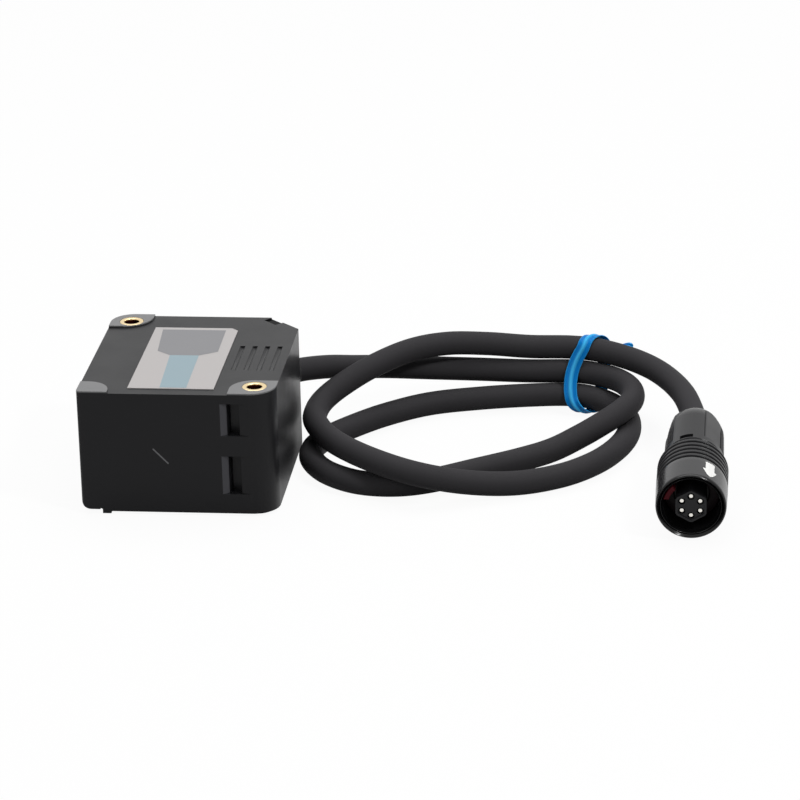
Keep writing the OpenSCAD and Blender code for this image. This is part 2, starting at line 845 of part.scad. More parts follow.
// The tie's loop: its middle line on the inner face, and the direction out of the loop at each station
tie_span = tie_front[2] + tie_back[2] - tie_front[0] - tie_back[0];
tie_rise = unit([0, tie_span.y, tie_span.z]);
tie_across = [0, tie_rise.z, -tie_rise.y];
tie_out = concat(
    [for (k = [0 : tie_steps]) let (a = 180 * k / tie_steps) -cos(a) * tie_across - sin(a) * tie_rise],
    [tie_across],
    [for (k = [0 : tie_steps]) let (a = 180 * k / tie_steps) cos(a) * tie_across + sin(a) * tie_rise],
    [-tie_across]
);
tie_mid = concat(
    [for (k = [0 : tie_steps])
        let (a = 180 * k / tie_steps)
        blend(tie_front[0], tie_back[0], (1 - cos(a)) / 2) + sin(a) * sin(a) * tie_sag],
    [tie_back[1]],
    [for (k = [0 : tie_steps]) blend(tie_back[2], tie_front[2], (1 - cos(180 * k / tie_steps)) / 2)],
    [tie_front[1]]
);
tie_n = len(tie_mid);
tie_line = [for (i = [0 : tie_n - 1]) tie_mid[i] + tie_r * tie_out[i]];

function blend(a, b, f) = a * (1 - f) + b * f;

// Four corners of the strip at a station
function tie_corners(i) =
    let (
        run = unit(tie_line[(i + 1) % tie_n] - tie_line[(i + tie_n - 1) % tie_n]),
        side = unit(cross(tie_out[i], run)) * tie_w / 2,
        out = cross(run, unit(side)) * tie_t
    )
    [tie_line[i] - side, tie_line[i] + side, tie_line[i] + side + out, tie_line[i] - side + out];

// Thin strip laid aslant round the three strands, its ends twisted together behind them
module cable_tie() {
    points = [for (i = [0 : tie_n - 1]) each tie_corners(i)];
    skin = [
        for (i = [0 : tie_n - 1], k = [0 : 3])
            let (a = i * 4 + k, b = i * 4 + (k + 1) % 4, c = ((i + 1) % tie_n) * 4)
            each [[a, c + k, b], [b, c + k, c + (k + 1) % 4]]
    ];
    run = tie_tail[1] - tie_tail[0];
    color("#1e8fd8") {
        polyhedron(points, skin, convexity = 10);
        translate(tie_tail[0]) rotate([0, acos(run.z / norm(run)), atan2(run.y, run.x)])
            cylinder(h = norm(run), r = tie_tail_r);
    }
}

// Sliding sleeve: a rounded mouth, a plain band and grip grooves that run round it
module plug_sleeve() {
    R = plug_d / 2;
    rib_pitch = 1.7;
    rib_n = 5;
    rib_w = 0.8;
    rib_deep = 0.45;
    rib_s = sleeve_len - rib_n * rib_pitch - 0.1;
    ribs = [
        for (i = [0 : rib_n - 1])
            let (s = rib_s + i * rib_pitch)
            each [
                [R, s], [R - rib_deep, s + 0.1],
                [R - rib_deep, s + rib_w], [R, s + rib_w + 0.1]
            ]
    ];
    color("#232326")
        at_plug()
            rotate_extrude()
                polygon(concat(
                    [[sleeve_bore_r, 0], [R - 0.7, 0], [R - 0.3, 0.2], [R - 0.12, 0.7], [R, rib_s - 1.4]],
                    ribs,
                    [[R, sleeve_len - 0.3], [R - 0.3, sleeve_len], [sleeve_bore_r, sleeve_len]]
                ));
}

module plug_shell() {
    color("#1b1b1d")
        at_plug()
            rotate_extrude()
                polygon([
                    [shell_bore_r, 0.4], [shell_d / 2, 0.4], [shell_d / 2, shell_len], [thread_r, shell_len],
                    [thread_r, tail_len], [thread_r - 1, tail_len], [thread_r - 1, flange_s],
                    [shell_bore_r, flange_s]
                ]);
}

// Contacts' holes: a close bore along each pin and a wider mouth at the face
module contact_holes() {
    for (i = [0 : contact_n - 1])
        rotate([0, 0, -90 + 360 * i / contact_n]) translate([contact_pcd / 2, 0, 0]) {
            translate([0, 0, -1]) cylinder(h = 2 * flange_s + 8, r = pin_r + gap);
            translate([0, 0, -1]) cylinder(h = 3.3, r = pin_r + 0.35);
        }
}

// The carrier's six-sided form with rounded corners, one corner up, drawn smaller by the given inset
module carrier_form(inset, length) {
    intersection() {
        cylinder(h = length, r = insert_r - inset);
        rotate([0, 0, 30]) cylinder(h = length, r = (insert_flat - inset) / cos(30), $fn = 6);
    }
}

// Post of the contact carrier, its face sunk inside a thin rim
module plug_insert() {
    color("#2c2c2f")
        at_plug()
            difference() {
                translate([0, 0, insert_s]) carrier_form(0, mouth_deep - insert_s);
                translate([0, 0, insert_s - 1]) carrier_form(insert_rim, 1 + insert_sunk);
                contact_holes();
            }
}

// Flange and tail of the contact carrier, seated on the shell's inner step
module insert_base() {
    color("#28282b")
        at_plug()
            difference() {
                union() {
                    translate([0, 0, mouth_deep]) cylinder(h = flange_s - mouth_deep, r = shell_bore_r - gap);
                    translate([0, 0, flange_s - eps]) cylinder(h = 4, r = thread_r - 1 - gap);
                }
                contact_holes();
            }
}

module plug_contacts() {
    color("#d9c48a")
        at_plug()
            for (i = [0 : contact_n - 1])
                rotate([0, 0, -90 + 360 * i / contact_n]) translate([contact_pcd / 2, 0, pin_s])
                    cylinder(h = flange_s + 7.5 - pin_s, r = pin_r);
}

module plug_seal() {
    color("#5c1a1e")
        at_plug() translate([0, 0, mouth_deep - 0.8])
            difference() {
                cylinder(h = 0.8, r = shell_bore_r - gap);
                translate([0, 0, -1]) cylinder(h = 3, r = insert_r + gap);
            }
}

// Back nut: a collar the sleeve slides over, a body with three grip flats, then a dome down to the lead
module plug_back_nut() {
    R = nut_d / 2;
    dome_s = plug_len - dome_len;
    dome_r = R - nut_taper;
    dome = [
        for (a = [0 : 10 : 80])
            [nut_mouth_r + (dome_r - nut_mouth_r) * cos(a), dome_s + dome_len * sin(a)]
    ];
    color("#27272a")
        at_plug()
            difference() {
                rotate_extrude()
                    polygon(concat(
                        [[thread_r + gap, nut_s], [collar_r, nut_s], [collar_r, collar_s],
                         [R, collar_s + 0.2]],
                        dome,
                        [[nut_mouth_r, plug_len], [cord_bore_r, plug_len], [cord_bore_r, seal_s + seal_len],
                         [thread_r - 0.3, seal_s + seal_len], [thread_r - 0.3, tail_len + 0.5],
                         [thread_r + gap, tail_len + 0.5]]
                    ));
                for (a = [-160.7, -40.7, 79.3])
                    rotate([0, 0, a]) translate([grip_floor, -grip_w / 2, grip_s])
                        cube([2, grip_w, plug_len - grip_s + 1]);
                rotate([0, 0, -13.3]) translate([-1.4, -R - 0.4, collar_s + 0.5]) cube([2.8, 1, 1.4]);
            }
}

module plug_cable_seal() {
    color("#3a3a3c")
        at_plug() translate([0, 0, seal_s])
            difference() {
                cylinder(h = seal_len, r = thread_r - 0.3 - gap);
                translate([0, 0, -1]) cylinder(h = seal_len + 2, r = cord_bore_r);
            }
}

case();
base_cover();
cover_seal();
cover_screws();
front_bezel();
laser_window();
receiver_window();
mount_sleeve_front();
mount_sleeve_rear();
label();
indicator_lens();
indicator_led();
optics_block();
diode_holder();
collimator_lens();
laser_diode();
laser_board();
lens_holder();
receiver_lens();
lens_ring();
position_detector();
detector_board();
main_board();
board_screws();
board_connector();
lead_cores();
cable_gland();
lead();
cable_tie();
plug_sleeve();
plug_shell();
plug_insert();
insert_base();
plug_contacts();
plug_seal();
plug_back_nut();
plug_cable_seal();
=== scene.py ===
"""Dresses the solids of a compact laser displacement sensor and sets them on a pale stage.

It makes the lead, its tie, the round plug and the print on the label, and gives every solid its finish."""

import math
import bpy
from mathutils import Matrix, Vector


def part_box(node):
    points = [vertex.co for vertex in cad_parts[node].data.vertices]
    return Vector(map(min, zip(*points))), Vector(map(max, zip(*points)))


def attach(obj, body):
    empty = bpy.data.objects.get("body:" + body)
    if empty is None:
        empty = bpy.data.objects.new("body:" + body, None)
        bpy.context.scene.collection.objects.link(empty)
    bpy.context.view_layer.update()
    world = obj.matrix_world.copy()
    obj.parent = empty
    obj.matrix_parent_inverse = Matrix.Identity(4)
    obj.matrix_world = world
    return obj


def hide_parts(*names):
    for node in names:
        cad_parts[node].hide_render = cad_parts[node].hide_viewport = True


bl_info = {
    "name": "Laser displacement sensor",
    "version": (1, 0, 0),
    "blender": (4, 5, 0),
    "location": "3D View > Sidebar > Sensor",
    "description": "Makes the lead, tie, plug, label print and finishes of a laser displacement sensor",
    "category": "Object",
}

import bmesh
import bpy
import numpy as np
from mathutils import Matrix, Vector

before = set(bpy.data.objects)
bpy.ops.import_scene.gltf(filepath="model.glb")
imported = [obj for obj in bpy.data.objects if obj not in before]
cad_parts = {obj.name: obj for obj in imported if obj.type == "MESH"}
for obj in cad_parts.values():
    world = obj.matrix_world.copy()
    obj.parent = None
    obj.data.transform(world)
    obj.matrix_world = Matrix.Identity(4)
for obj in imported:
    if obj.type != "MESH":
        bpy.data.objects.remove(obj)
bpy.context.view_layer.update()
MM = 0.001

# Place of the plug's mouth in mm, its turn in plan and the rise of its back end, as in the solids
PLUG_AT = np.array([108.6, -32.9, 7.65])
PLUG_YAW = math.radians(0.6)
PLUG_RISE = math.radians(4.5)
PLUG_AXIS = np.array([
    -math.cos(PLUG_RISE) * math.sin(PLUG_YAW),
    math.cos(PLUG_RISE) * math.cos(PLUG_YAW),
    math.sin(PLUG_RISE),
])
# Thread that joins the plug's shell and back nut: its radius, and its start and end behind the sleeve, in mm
THREAD = 4.4
THREAD_START = 0.3
THREAD_END = 8.0

# Route of the lead in mm, from inside the gland to inside the back nut, as in the solids
ROUTE = np.array([
    [15.5, 18.5, 15.5], [19, 22, 15.5], [22, 25.2, 15], [26, 30.2, 13.6], [30.8, 35.4, 11.7], [38, 40.3, 10],
    [47, 43.6, 8.6], [58, 44.8, 8.1], [69, 44.6, 8.2], [79, 43.8, 8.4], [85, 42.3, 8.25], [90, 38.7, 8.15],
    [93, 33.2, 8.1], [93.5, 26.8, 8], [91.5, 20.5, 7.9], [87.5, 15.5, 6.8], [82.5, 12, 4.9], [77, 8.5, 3.2],
    [70.5, 4, 2.66], [61, -2.8, 2.66], [52, -9, 2.66], [44.5, -11.5, 2.66], [36.5, -10.5, 2.66],
    [29.5, -5.5, 2.66], [25.3, 1.5, 2.66], [24.6, 8, 2.66], [26.5, 14, 2.66], [31.5, 21.5, 2.66],
    [38.5, 29.5, 2.66], [47.5, 36.2, 2.75], [58.5, 39.6, 2.95], [70, 41.2, 3.3], [79, 41.3, 3.55],
    [85, 39.6, 3.3], [89.8, 35.6, 2.8], [92.5, 29, 2.66], [93, 20.5, 2.66], [91, 11.5, 2.66],
    [86.5, 2.5, 2.66], [79.5, -5, 2.66], [70, -9.8, 2.75], [59.5, -13.4, 4.35], [49, -15.6, 7.1],
    [38.5, -10.6, 8.45], [30, -0.4, 8.2], [25.2, 9.8, 8.1], [24.4, 16.2, 8.2], [25.6, 21.6, 9.1],
    [29.2, 26.2, 10.9], [35.2, 31.3, 13.3], [43, 38.3, 14.7], [51, 42.9, 14.8], [60, 45.5, 14.3],
    [69.5, 46.3, 13.7], [79, 45.9, 13.55], [85.5, 44.3, 13.2], [92, 41.1, 12.65], [97.5, 36.2, 12.2],
    [101.7, 30, 11.8], [104.9, 22.5, 11.5], [106.8, 14.6, 11.3],
    *(PLUG_AT + s * PLUG_AXIS for s in (39.5, 34, 22)),
])
# Pull of the tie: how far points of the route, by number, settle below their place in the solids, in mm
PULL = {7: 0.1, 8: 0.35, 9: 0.12, 10: 0.05, 11: 0.02, 52: 0.35, 53: 0.6, 54: 0.3, 55: 0.06, 56: 0.02}

# Sizes in mm of the slow drift of tone over a moulding and of the wiping marks on glass
DRIFT_SIZE = 14
WIPE_SIZE = 2.5
# Range that most of a noise texture lies in
NOISE_RANGE = {"From Min": 0.3, "From Max": 0.7}
# Turn above which an edge is rounded
EDGE_TURN = math.radians(40)
# Distances in metres within which points are merged: in a new mesh, and in a solid whose edges are rounded
MERGE_NEW = 1e-7
MERGE_SOLID = 2e-6


class HeadSettings(bpy.types.PropertyGroup):
    """Colours and fine sizes of the housing and its label"""

    case_colour: bpy.props.StringProperty(
        name="Case", description="Colour of the case's moulded plastic, as a hex value", default="#19191b")
    bezel_colour: bpy.props.StringProperty(
        name="Bezel", description="Colour of the bezel's moulded plastic, as a hex value", default="#19191b")
    label_colour: bpy.props.StringProperty(
        name="Label", description="Ground colour of the label film, as a hex value", default="#b3afae")
    field_colour: bpy.props.StringProperty(
        name="Label field", description="Grey field printed on the label, as a hex value", default="#7c7c7f")
    stem_colour: bpy.props.StringProperty(
        name="Label stem", description="Blue-grey stem printed on the label, as a hex value",
        default="#8aa0a9")
    grain: bpy.props.FloatProperty(
        name="Grain", description="Grain size of the moulded case", default=0.0004, unit="LENGTH")
    edge: bpy.props.FloatProperty(
        name="Edge", description="Width of the moulded edges' rounding", default=0.00022, unit="LENGTH")


class LeadSettings(bpy.types.PropertyGroup):
    """Colours and sizes of the lead and its tie"""

    diameter: bpy.props.FloatProperty(
        name="Diameter", description="Outer diameter of the lead", default=0.0053, unit="LENGTH")
    jacket_colour: bpy.props.StringProperty(
        name="Jacket", description="Colour of the lead's jacket, as a hex value", default="#3b3a3c")
    tie_colour: bpy.props.StringProperty(
        name="Tie", description="Colour of the tie's plastic strip, as a hex value", default="#0479c8")
    # Colour of the painted highlight over the wire's ridge and at the tie's rims
    tie_highlight: bpy.props.StringProperty(
        name="Tie line", description="Paler colour over the tie's wire and at its rims, as a hex value",
        default="#46bffb")
    tie_width: bpy.props.FloatProperty(
        name="Tie width", description="Width of the tie's strip", default=0.0029, unit="LENGTH")


class PlugSettings(bpy.types.PropertyGroup):
    """Colours and sizes of the round plug"""

    colour: bpy.props.StringProperty(
        name="Plug", description="Colour of the plug's mouldings, as a hex value", default="#1c1c1e")
    seal_colour: bpy.props.StringProperty(
        name="Seal", description="Colour of the seal in the plug's mouth, as a hex value", default="#12070a")
    key_colour: bpy.props.StringProperty(
        name="Key", description="Colour of the locating key in the plug's mouth, as a hex value",
        default="#420711")
    mark_colour: bpy.props.StringProperty(
        name="Mark", description="Colour of the arrow printed on the sleeve, as a hex value",
        default="#f4f4f2")
    sleeve_diameter: bpy.props.FloatProperty(
        name="Sleeve diameter", description="Largest diameter of the sliding sleeve", default=0.015,
        unit="LENGTH")
    sleeve_length: bpy.props.FloatProperty(
        name="Sleeve length", description="Length of the sliding sleeve", default=0.017, unit="LENGTH")
    nut_diameter: bpy.props.FloatProperty(
        name="Nut diameter", description="Largest diameter of the back nut", default=0.013, unit="LENGTH")
    length: bpy.props.FloatProperty(
        name="Length", description="Length of the whole plug", default=0.0384, unit="LENGTH")
    grooves: bpy.props.IntProperty(
        name="Grooves", description="Number of grip grooves round the sleeve", default=5)


class StageSettings(bpy.types.PropertyGroup):
    """Camera lens and light"""

    lens: bpy.props.FloatProperty(
        name="Lens", description="Focal length of the camera on a 36 mm sensor", default=173.8,
        subtype="DISTANCE_CAMERA")
    softbox: bpy.props.FloatProperty(
        name="Softbox", description="Power of the large softbox overhead, in watts", default=6.0)
    fill: bpy.props.FloatProperty(
        name="Fill", description="Strength of the even light from all round", default=0.15)


def linear(hex_colour):
    """Linear RGBA from an sRGB hex value: straight near black, and a power of 2.4 above."""
    part = np.array([int(hex_colour[i:i + 2], 16) for i in (1, 3, 5)]) / 255
    part = np.where(part <= 0.04045, part / 12.92, ((part + 0.055) / 1.055) ** 2.4)
    return (*part.tolist(), 1.0)


def add(tree, kind, inputs=None, **settings):
    """Add a node: settings are its own attributes, inputs are values or sockets by input name or number."""
    node = tree.nodes.new(kind)
    for name, value in settings.items():
        setattr(node, name, value)
    for key, value in (inputs or {}).items():
        if isinstance(value, bpy.types.NodeSocket):
            tree.links.new(value, node.inputs[key])
        else:
            node.inputs[key].default_value = value
    return node


def blank(name):
    """A new material with an empty node tree."""
    material = bpy.data.materials.new(name)
    material.use_nodes = True
    material.node_tree.nodes.clear()
    return material, material.node_tree


def looked_at(tree):
    """Socket that is 1 where the camera, a reflection or a clear piece looks, and 0 for scattered light."""
    ray = add(tree, "ShaderNodeLightPath").outputs
    seen = add(tree, "ShaderNodeMath", {0: ray["Is Camera Ray"], 1: ray["Is Glossy Ray"]}, operation="ADD")
    seen = add(tree, "ShaderNodeMath", {0: seen.outputs[0], 1: ray["Is Transmission Ray"]},
               operation="ADD", use_clamp=True)
    return seen.outputs[0]


def moulded(name, colour, *, rough, grain, depth, drift=0.12, level=0.5, place="Object", extra=None):
    """Moulded plastic, rubber, film or ink: a slow drift of tone and roughness, and a fine grain in the bump.

    The grain's size and depth are in mm, drift is the share by which the tone strays either way, level is the
    strength of the reflection seen square on, and extra may paint more over the tone."""
    swing = 0.05
    material, tree = blank(name)
    where = add(tree, "ShaderNodeTexCoord").outputs[place]
    fine = add(tree, "ShaderNodeTexNoise", {
        "Vector": where, "Scale": 1 / (grain * MM), "Detail": 4.0, "Roughness": 0.6})
    slow = add(tree, "ShaderNodeTexNoise", {"Vector": where, "Scale": 1 / (DRIFT_SIZE * MM), "Detail": 3.0})
    tone = linear(colour)
    low = tuple(c * (1 - drift) for c in tone[:3]) + (1.0,)
    high = tuple(c * (1 + drift) for c in tone[:3]) + (1.0,)
    shade = add(tree, "ShaderNodeMix", {0: slow.outputs["Fac"], 6: low, 7: high}, data_type="RGBA").outputs[2]
    if extra:
        shade = extra(tree, where, shade)
    gloss = add(tree, "ShaderNodeMapRange", {
        "Value": slow.outputs["Fac"], **NOISE_RANGE, "To Min": rough - swing, "To Max": rough + swing})
    bump = add(tree, "ShaderNodeBump", {
        "Height": fine.outputs["Fac"], "Distance": depth * MM, "Strength": 0.6})
    surface = add(tree, "ShaderNodeBsdfPrincipled", {
        "Base Color": shade, "Roughness": gloss.outputs[0], "Normal": bump.outputs[0],
        "Specular IOR Level": level})
    add(tree, "ShaderNodeOutputMaterial", {"Surface": surface.outputs[0]})
    return material


def metal(name, colour, *, rough, grain, depth, stretch=(1, 1, 1), extra=None):
    """Bare or plated metal: one colour, with tool marks as a stretched noise in the bump and the roughness.

    The marks' size and depth are in mm, and extra may paint more over the colour."""
    swing = 0.06
    material, tree = blank(name)
    where = add(tree, "ShaderNodeTexCoord").outputs["Object"]
    laid = add(tree, "ShaderNodeMapping", {"Vector": where, "Scale": stretch})
    marks = add(tree, "ShaderNodeTexNoise", {
        "Vector": laid.outputs[0], "Scale": 1 / (grain * MM), "Detail": 3.0})
    gloss = add(tree, "ShaderNodeMapRange", {
        "Value": marks.outputs["Fac"], **NOISE_RANGE, "To Min": rough - swing, "To Max": rough + swing})
    bump = add(tree, "ShaderNodeBump", {
        "Height": marks.outputs["Fac"], "Distance": depth * MM, "Strength": 0.5})
    shade = extra(tree, where, linear(colour)) if extra else linear(colour)
    surface = add(tree, "ShaderNodeBsdfPrincipled", {
        "Base Color": shade, "Metallic": 1.0, "Roughness": gloss.outputs[0], "Normal": bump.outputs[0]})
    add(tree, "ShaderNodeOutputMaterial", {"Surface": surface.outputs[0]})
    return material


def pane(name, colour, *, rough, ior=1.5):
    """Polished optical glass, tinted by its colour, with faint wiping marks in the roughness."""
    wiped = 0.05
    material, tree = blank(name)
    where = add(tree, "ShaderNodeTexCoord").outputs["Object"]
    wipe = add(tree, "ShaderNodeTexNoise", {"Vector": where, "Scale": 1 / (WIPE_SIZE * MM), "Detail": 2.0})
    gloss = add(tree, "ShaderNodeMapRange", {
        "Value": wipe.outputs["Fac"], **NOISE_RANGE, "To Min": rough, "To Max": rough + wiped})
    surface = add(tree, "ShaderNodeBsdfPrincipled", {
        "Base Color": linear(colour), "Roughness": gloss.outputs[0], "Transmission Weight": 1.0, "IOR": ior})
    add(tree, "ShaderNodeOutputMaterial", {"Surface": surface.outputs[0]})
    return material


def in_box(tree, where, low, high, soft):
    """Socket that is 1 in a box given by its two corners in mm and falls to 0 over a soft border in mm.

    It is the product, over the three axes, of a ramp of the distance from the box's middle."""
    middle = [(a + b) / 2 * MM for a, b in zip(low, high)]
    off = add(tree, "ShaderNodeVectorMath", {0: where, 1: middle}, operation="SUBTRACT")
    off = add(tree, "ShaderNodeVectorMath", {0: off.outputs[0]}, operation="ABSOLUTE")
    axes = add(tree, "ShaderNodeSeparateXYZ", {0: off.outputs[0]})
    mask = None
    for k in range(3):
        reach = (high[k] - low[k]) / 2 * MM
        ramp = add(tree, "ShaderNodeMapRange", {
            "Value": axes.outputs[k], "From Min": reach, "From Max": reach + soft * MM,
            "To Min": 1.0, "To Max": 0.0}).outputs[0]
        if mask is None:
            mask = ramp
        else:
            mask = add(tree, "ShaderNodeMath", {0: mask, 1: ramp}, operation="MULTIPLY").outputs[0]
    return mask


def sheen_and_scratch(tree, where, shade):
    """Tones of the case that differ: painted sheen on the raised pads, painted highlights on the pockets'
    lead-ins and a thin scratch.
    """
    low, high = (np.array(v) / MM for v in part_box("case"))
    front = low[1]
    # Margin that a box of tone stands proud of the surface, and its soft border, in mm
    proud, soft = 1, 0.15
    pad_height = 0.2
    lead_in_left, lead_in_right, lead_in_depth = 9.6, 10.9, 0.42
    # Painted sheen: the raised pads are lighter, for the softbox light they reflect more than the top
    painted_highlights = [((low[0], front, high[2] - pad_height), (high[0], high[1], high[2] + proud), "#7a7a7b")]
    # Painted highlights: the pockets' lead-ins are lighter, for the light from the right that their slopes
    # catch
    for bottom, top in ((18.2, 25.2), (5.0, 13.4)):
        painted_highlights.append((
            (lead_in_left, front - proud, bottom), (lead_in_right, front + lead_in_depth, top), "#4c4c50"))
    for start, end, tone in painted_highlights:
        mask = in_box(tree, where, start, end, soft)
        shade = add(tree, "ShaderNodeMix", {0: mask, 6: shade, 7: linear(tone)}, data_type="RGBA").outputs[2]

    # Scratch: full within its core, gone at its border, by the distance from the line between its two ends
    start, end = np.array([-5.0, front, 14.85]) * MM, np.array([-1.95, front, 11.7]) * MM
    core, border, strength = 0.06 * MM, 0.22 * MM, 0.75
    run = end - start
    off = add(tree, "ShaderNodeVectorMath", {0: where, 1: start.tolist()}, operation="SUBTRACT").outputs[0]
    dot = add(tree, "ShaderNodeVectorMath", {0: off, 1: run.tolist()}, operation="DOT_PRODUCT")
    part = add(tree, "ShaderNodeMath", {0: dot.outputs["Value"], 1: float(run @ run)},
               operation="DIVIDE", use_clamp=True)
    foot = add(tree, "ShaderNodeVectorMath", {0: run.tolist(), "Scale": part.outputs[0]}, operation="SCALE")
    away = add(tree, "ShaderNodeVectorMath", {0: off, 1: foot.outputs[0]}, operation="DISTANCE")
    mask = add(tree, "ShaderNodeMapRange", {
        "Value": away.outputs["Value"], "From Min": core, "From Max": border,
        "To Min": strength, "To Max": 0.0})
    mixed = add(tree, "ShaderNodeMix", {0: mask.outputs[0], 6: shade, 7: linear("#8d8d90")}, data_type="RGBA")
    return mixed.outputs[2]


def skin(name, grid, wrap_u=False, wrap_v=False, uv=None, sharp=35):
    """Mesh object from a grid of points in mm: quads between neighbours, closed where a direction wraps.

    Edges that turn by more than sharp, in degrees, stay sharp."""
    rows, columns = grid.shape[:2]
    u, v = np.arange(rows if wrap_u else rows - 1), np.arange(columns if wrap_v else columns - 1)
    i, j = np.meshgrid(u, v, indexing="ij")
    a, b = (i + 1) % rows, (j + 1) % columns
    faces = np.stack([i * columns + j, a * columns + j, a * columns + b, i * columns + b], -1).reshape(-1, 4)
    mesh = bpy.data.meshes.new(name)
    mesh.from_pydata((grid.reshape(-1, 3) * MM).tolist(), [], faces.tolist())
    if uv is not None:
        layer = mesh.uv_layers.new(name="Along")
        index = np.empty(len(mesh.loops), int)
        mesh.loops.foreach_get("vertex_index", index)
        layer.uv.foreach_set("vector", uv.reshape(-1, 2)[index].ravel())
    work = bmesh.new()
    work.from_mesh(mesh)
    bmesh.ops.remove_doubles(work, verts=work.verts, dist=MERGE_NEW)
    bmesh.ops.recalc_face_normals(work, faces=work.faces)
    work.to_mesh(mesh)
    work.free()
    mesh.shade_smooth()
    mesh.set_sharp_from_angle(angle=math.radians(sharp))
    made = bpy.data.objects.new(name, mesh)
    bpy.context.scene.collection.objects.link(made)
    return made


def dress(piece, material, body="head", replaces=()):
    """Give a new piece its finish, the body it moves with and the solids it stands for."""
    piece.data.materials.append(material)
    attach(piece, body)
    if replaces:
        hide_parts(*replaces)


def coat(finishes):
    """Give solids of the frame, by name, their finishes in place of those that they came with."""
    for name, material in finishes.items():
        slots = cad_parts[name].data.materials
        slots.clear()
        slots.append(material)


def round_edges(piece, width, segments):
    """Round a piece's sharp edges with a narrow bevel."""
    ease = piece.modifiers.new("edge", "BEVEL")
    ease.width = width
    ease.segments = segments
    ease.limit_method = "ANGLE"
    ease.angle_limit = EDGE_TURN
    return ease


def finish_by_depth(piece, limits):
    """Give a plug piece more finishes by its faces' distance behind the mouth.

    Each finish holds from the mouth back to its limit in mm, and the piece's first finish beyond the last."""
    middle = np.empty(3 * len(piece.data.polygons))
    piece.data.polygons.foreach_get("center", middle)
    depth = (middle.reshape(-1, 3) / MM - PLUG_AT) @ PLUG_AXIS
    number = np.zeros(len(depth), int)
    for limit, material in sorted(limits, key=lambda pair: -pair[0]):
        piece.data.materials.append(material)
        number[depth < limit] = len(piece.data.materials) - 1
    piece.data.polygons.foreach_set("material_index", number)


def unit(vectors):
    """Vectors of length 1 in the same directions."""
    return vectors / np.linalg.norm(vectors, axis=-1, keepdims=True)


def eased(points, radius, steps=5, most=0.45):
    """Closed outline with each corner replaced by a short parabola.

    It leaves and meets the corner's sides at the given distance, or at most this share of a side."""
    P = np.asarray(points, float)
    before, after = np.roll(P, 1, 0) - P, np.roll(P, -1, 0) - P
    A = P + unit(before) * np.minimum(radius, np.linalg.norm(before, axis=1) * most)[:, None]
    B = P + unit(after) * np.minimum(radius, np.linalg.norm(after, axis=1) * most)[:, None]
    t = np.linspace(0, 1, steps)[None, :, None]
    return ((1 - t) ** 2 * A[:, None] + 2 * t * (1 - t) * P[:, None] + t ** 2 * B[:, None]).reshape(-1, 2)


def on_plug(r, a, s):
    """Points at radius r and angle a round the plug's axis, at distance s behind its mouth, all in mm.

    In the plug's own frame a point lies r cos a across, r sin a down and s back. That frame is tipped by the
    plug's rise, turned by its yaw and moved to its place in the row frame."""
    local = np.stack(np.broadcast_arrays(r * np.cos(a), r * np.sin(a), s), -1)
    tip = PLUG_RISE - math.pi / 2
    tipped = np.array([[1, 0, 0], [0, math.cos(tip), -math.sin(tip)], [0, math.sin(tip), math.cos(tip)]])
    yawed = np.array([
        [math.cos(PLUG_YAW), -math.sin(PLUG_YAW), 0], [math.sin(PLUG_YAW), math.cos(PLUG_YAW), 0], [0, 0, 1]])
    return local @ (yawed @ tipped).T + PLUG_AT


def turned(profile, turns=128, shape=None, stations=()):
    """Surface of revolution: each (radius, distance) of the profile carried round the plug's axis.

    The even steps of the angle are joined by extra stations, and shape may change the radius where the form
    isn't round."""
    a = np.linspace(-np.pi, np.pi, turns, endpoint=False)
    a = np.sort(np.concatenate([a, np.asarray(stations, float)]))[None, :]
    r, s = profile[:, 0, None], profile[:, 1, None]
    if shape:
        r = shape(r, s, a)
    return on_plug(r, a, s)


def smooth_route(points, steps=10):
    """Smooth curve through the points: cubics whose slope at a point is half the chord of its neighbours."""
    Q = np.vstack([2 * points[0] - points[1], points, 2 * points[-1] - points[-2]])
    t = np.linspace(0, 1, steps, endpoint=False)[None, :, None]
    a, b, c, d = (Q[k:len(Q) - 3 + k, None] for k in range(4))
    curve = 0.5 * (
        2 * b + (c - a) * t + (2 * a - 5 * b + 4 * c - d) * t ** 2 + (3 * b - a - 3 * c + d) * t ** 3)
    return np.vstack([curve.reshape(-1, 3), points[-1]])


def swept(path, profile):
    """Profile (across, up) carried along a path that never stands on end.

    Across is level and square to the path, and up is square to both."""
    along = unit(np.gradient(path, axis=0))
    across = unit(np.cross([0, 0, 1], along))
    up = np.cross(along, across)
    return path[:, None] + across[:, None] * profile[None, :, :1] + up[:, None] * profile[None, :, 1:]


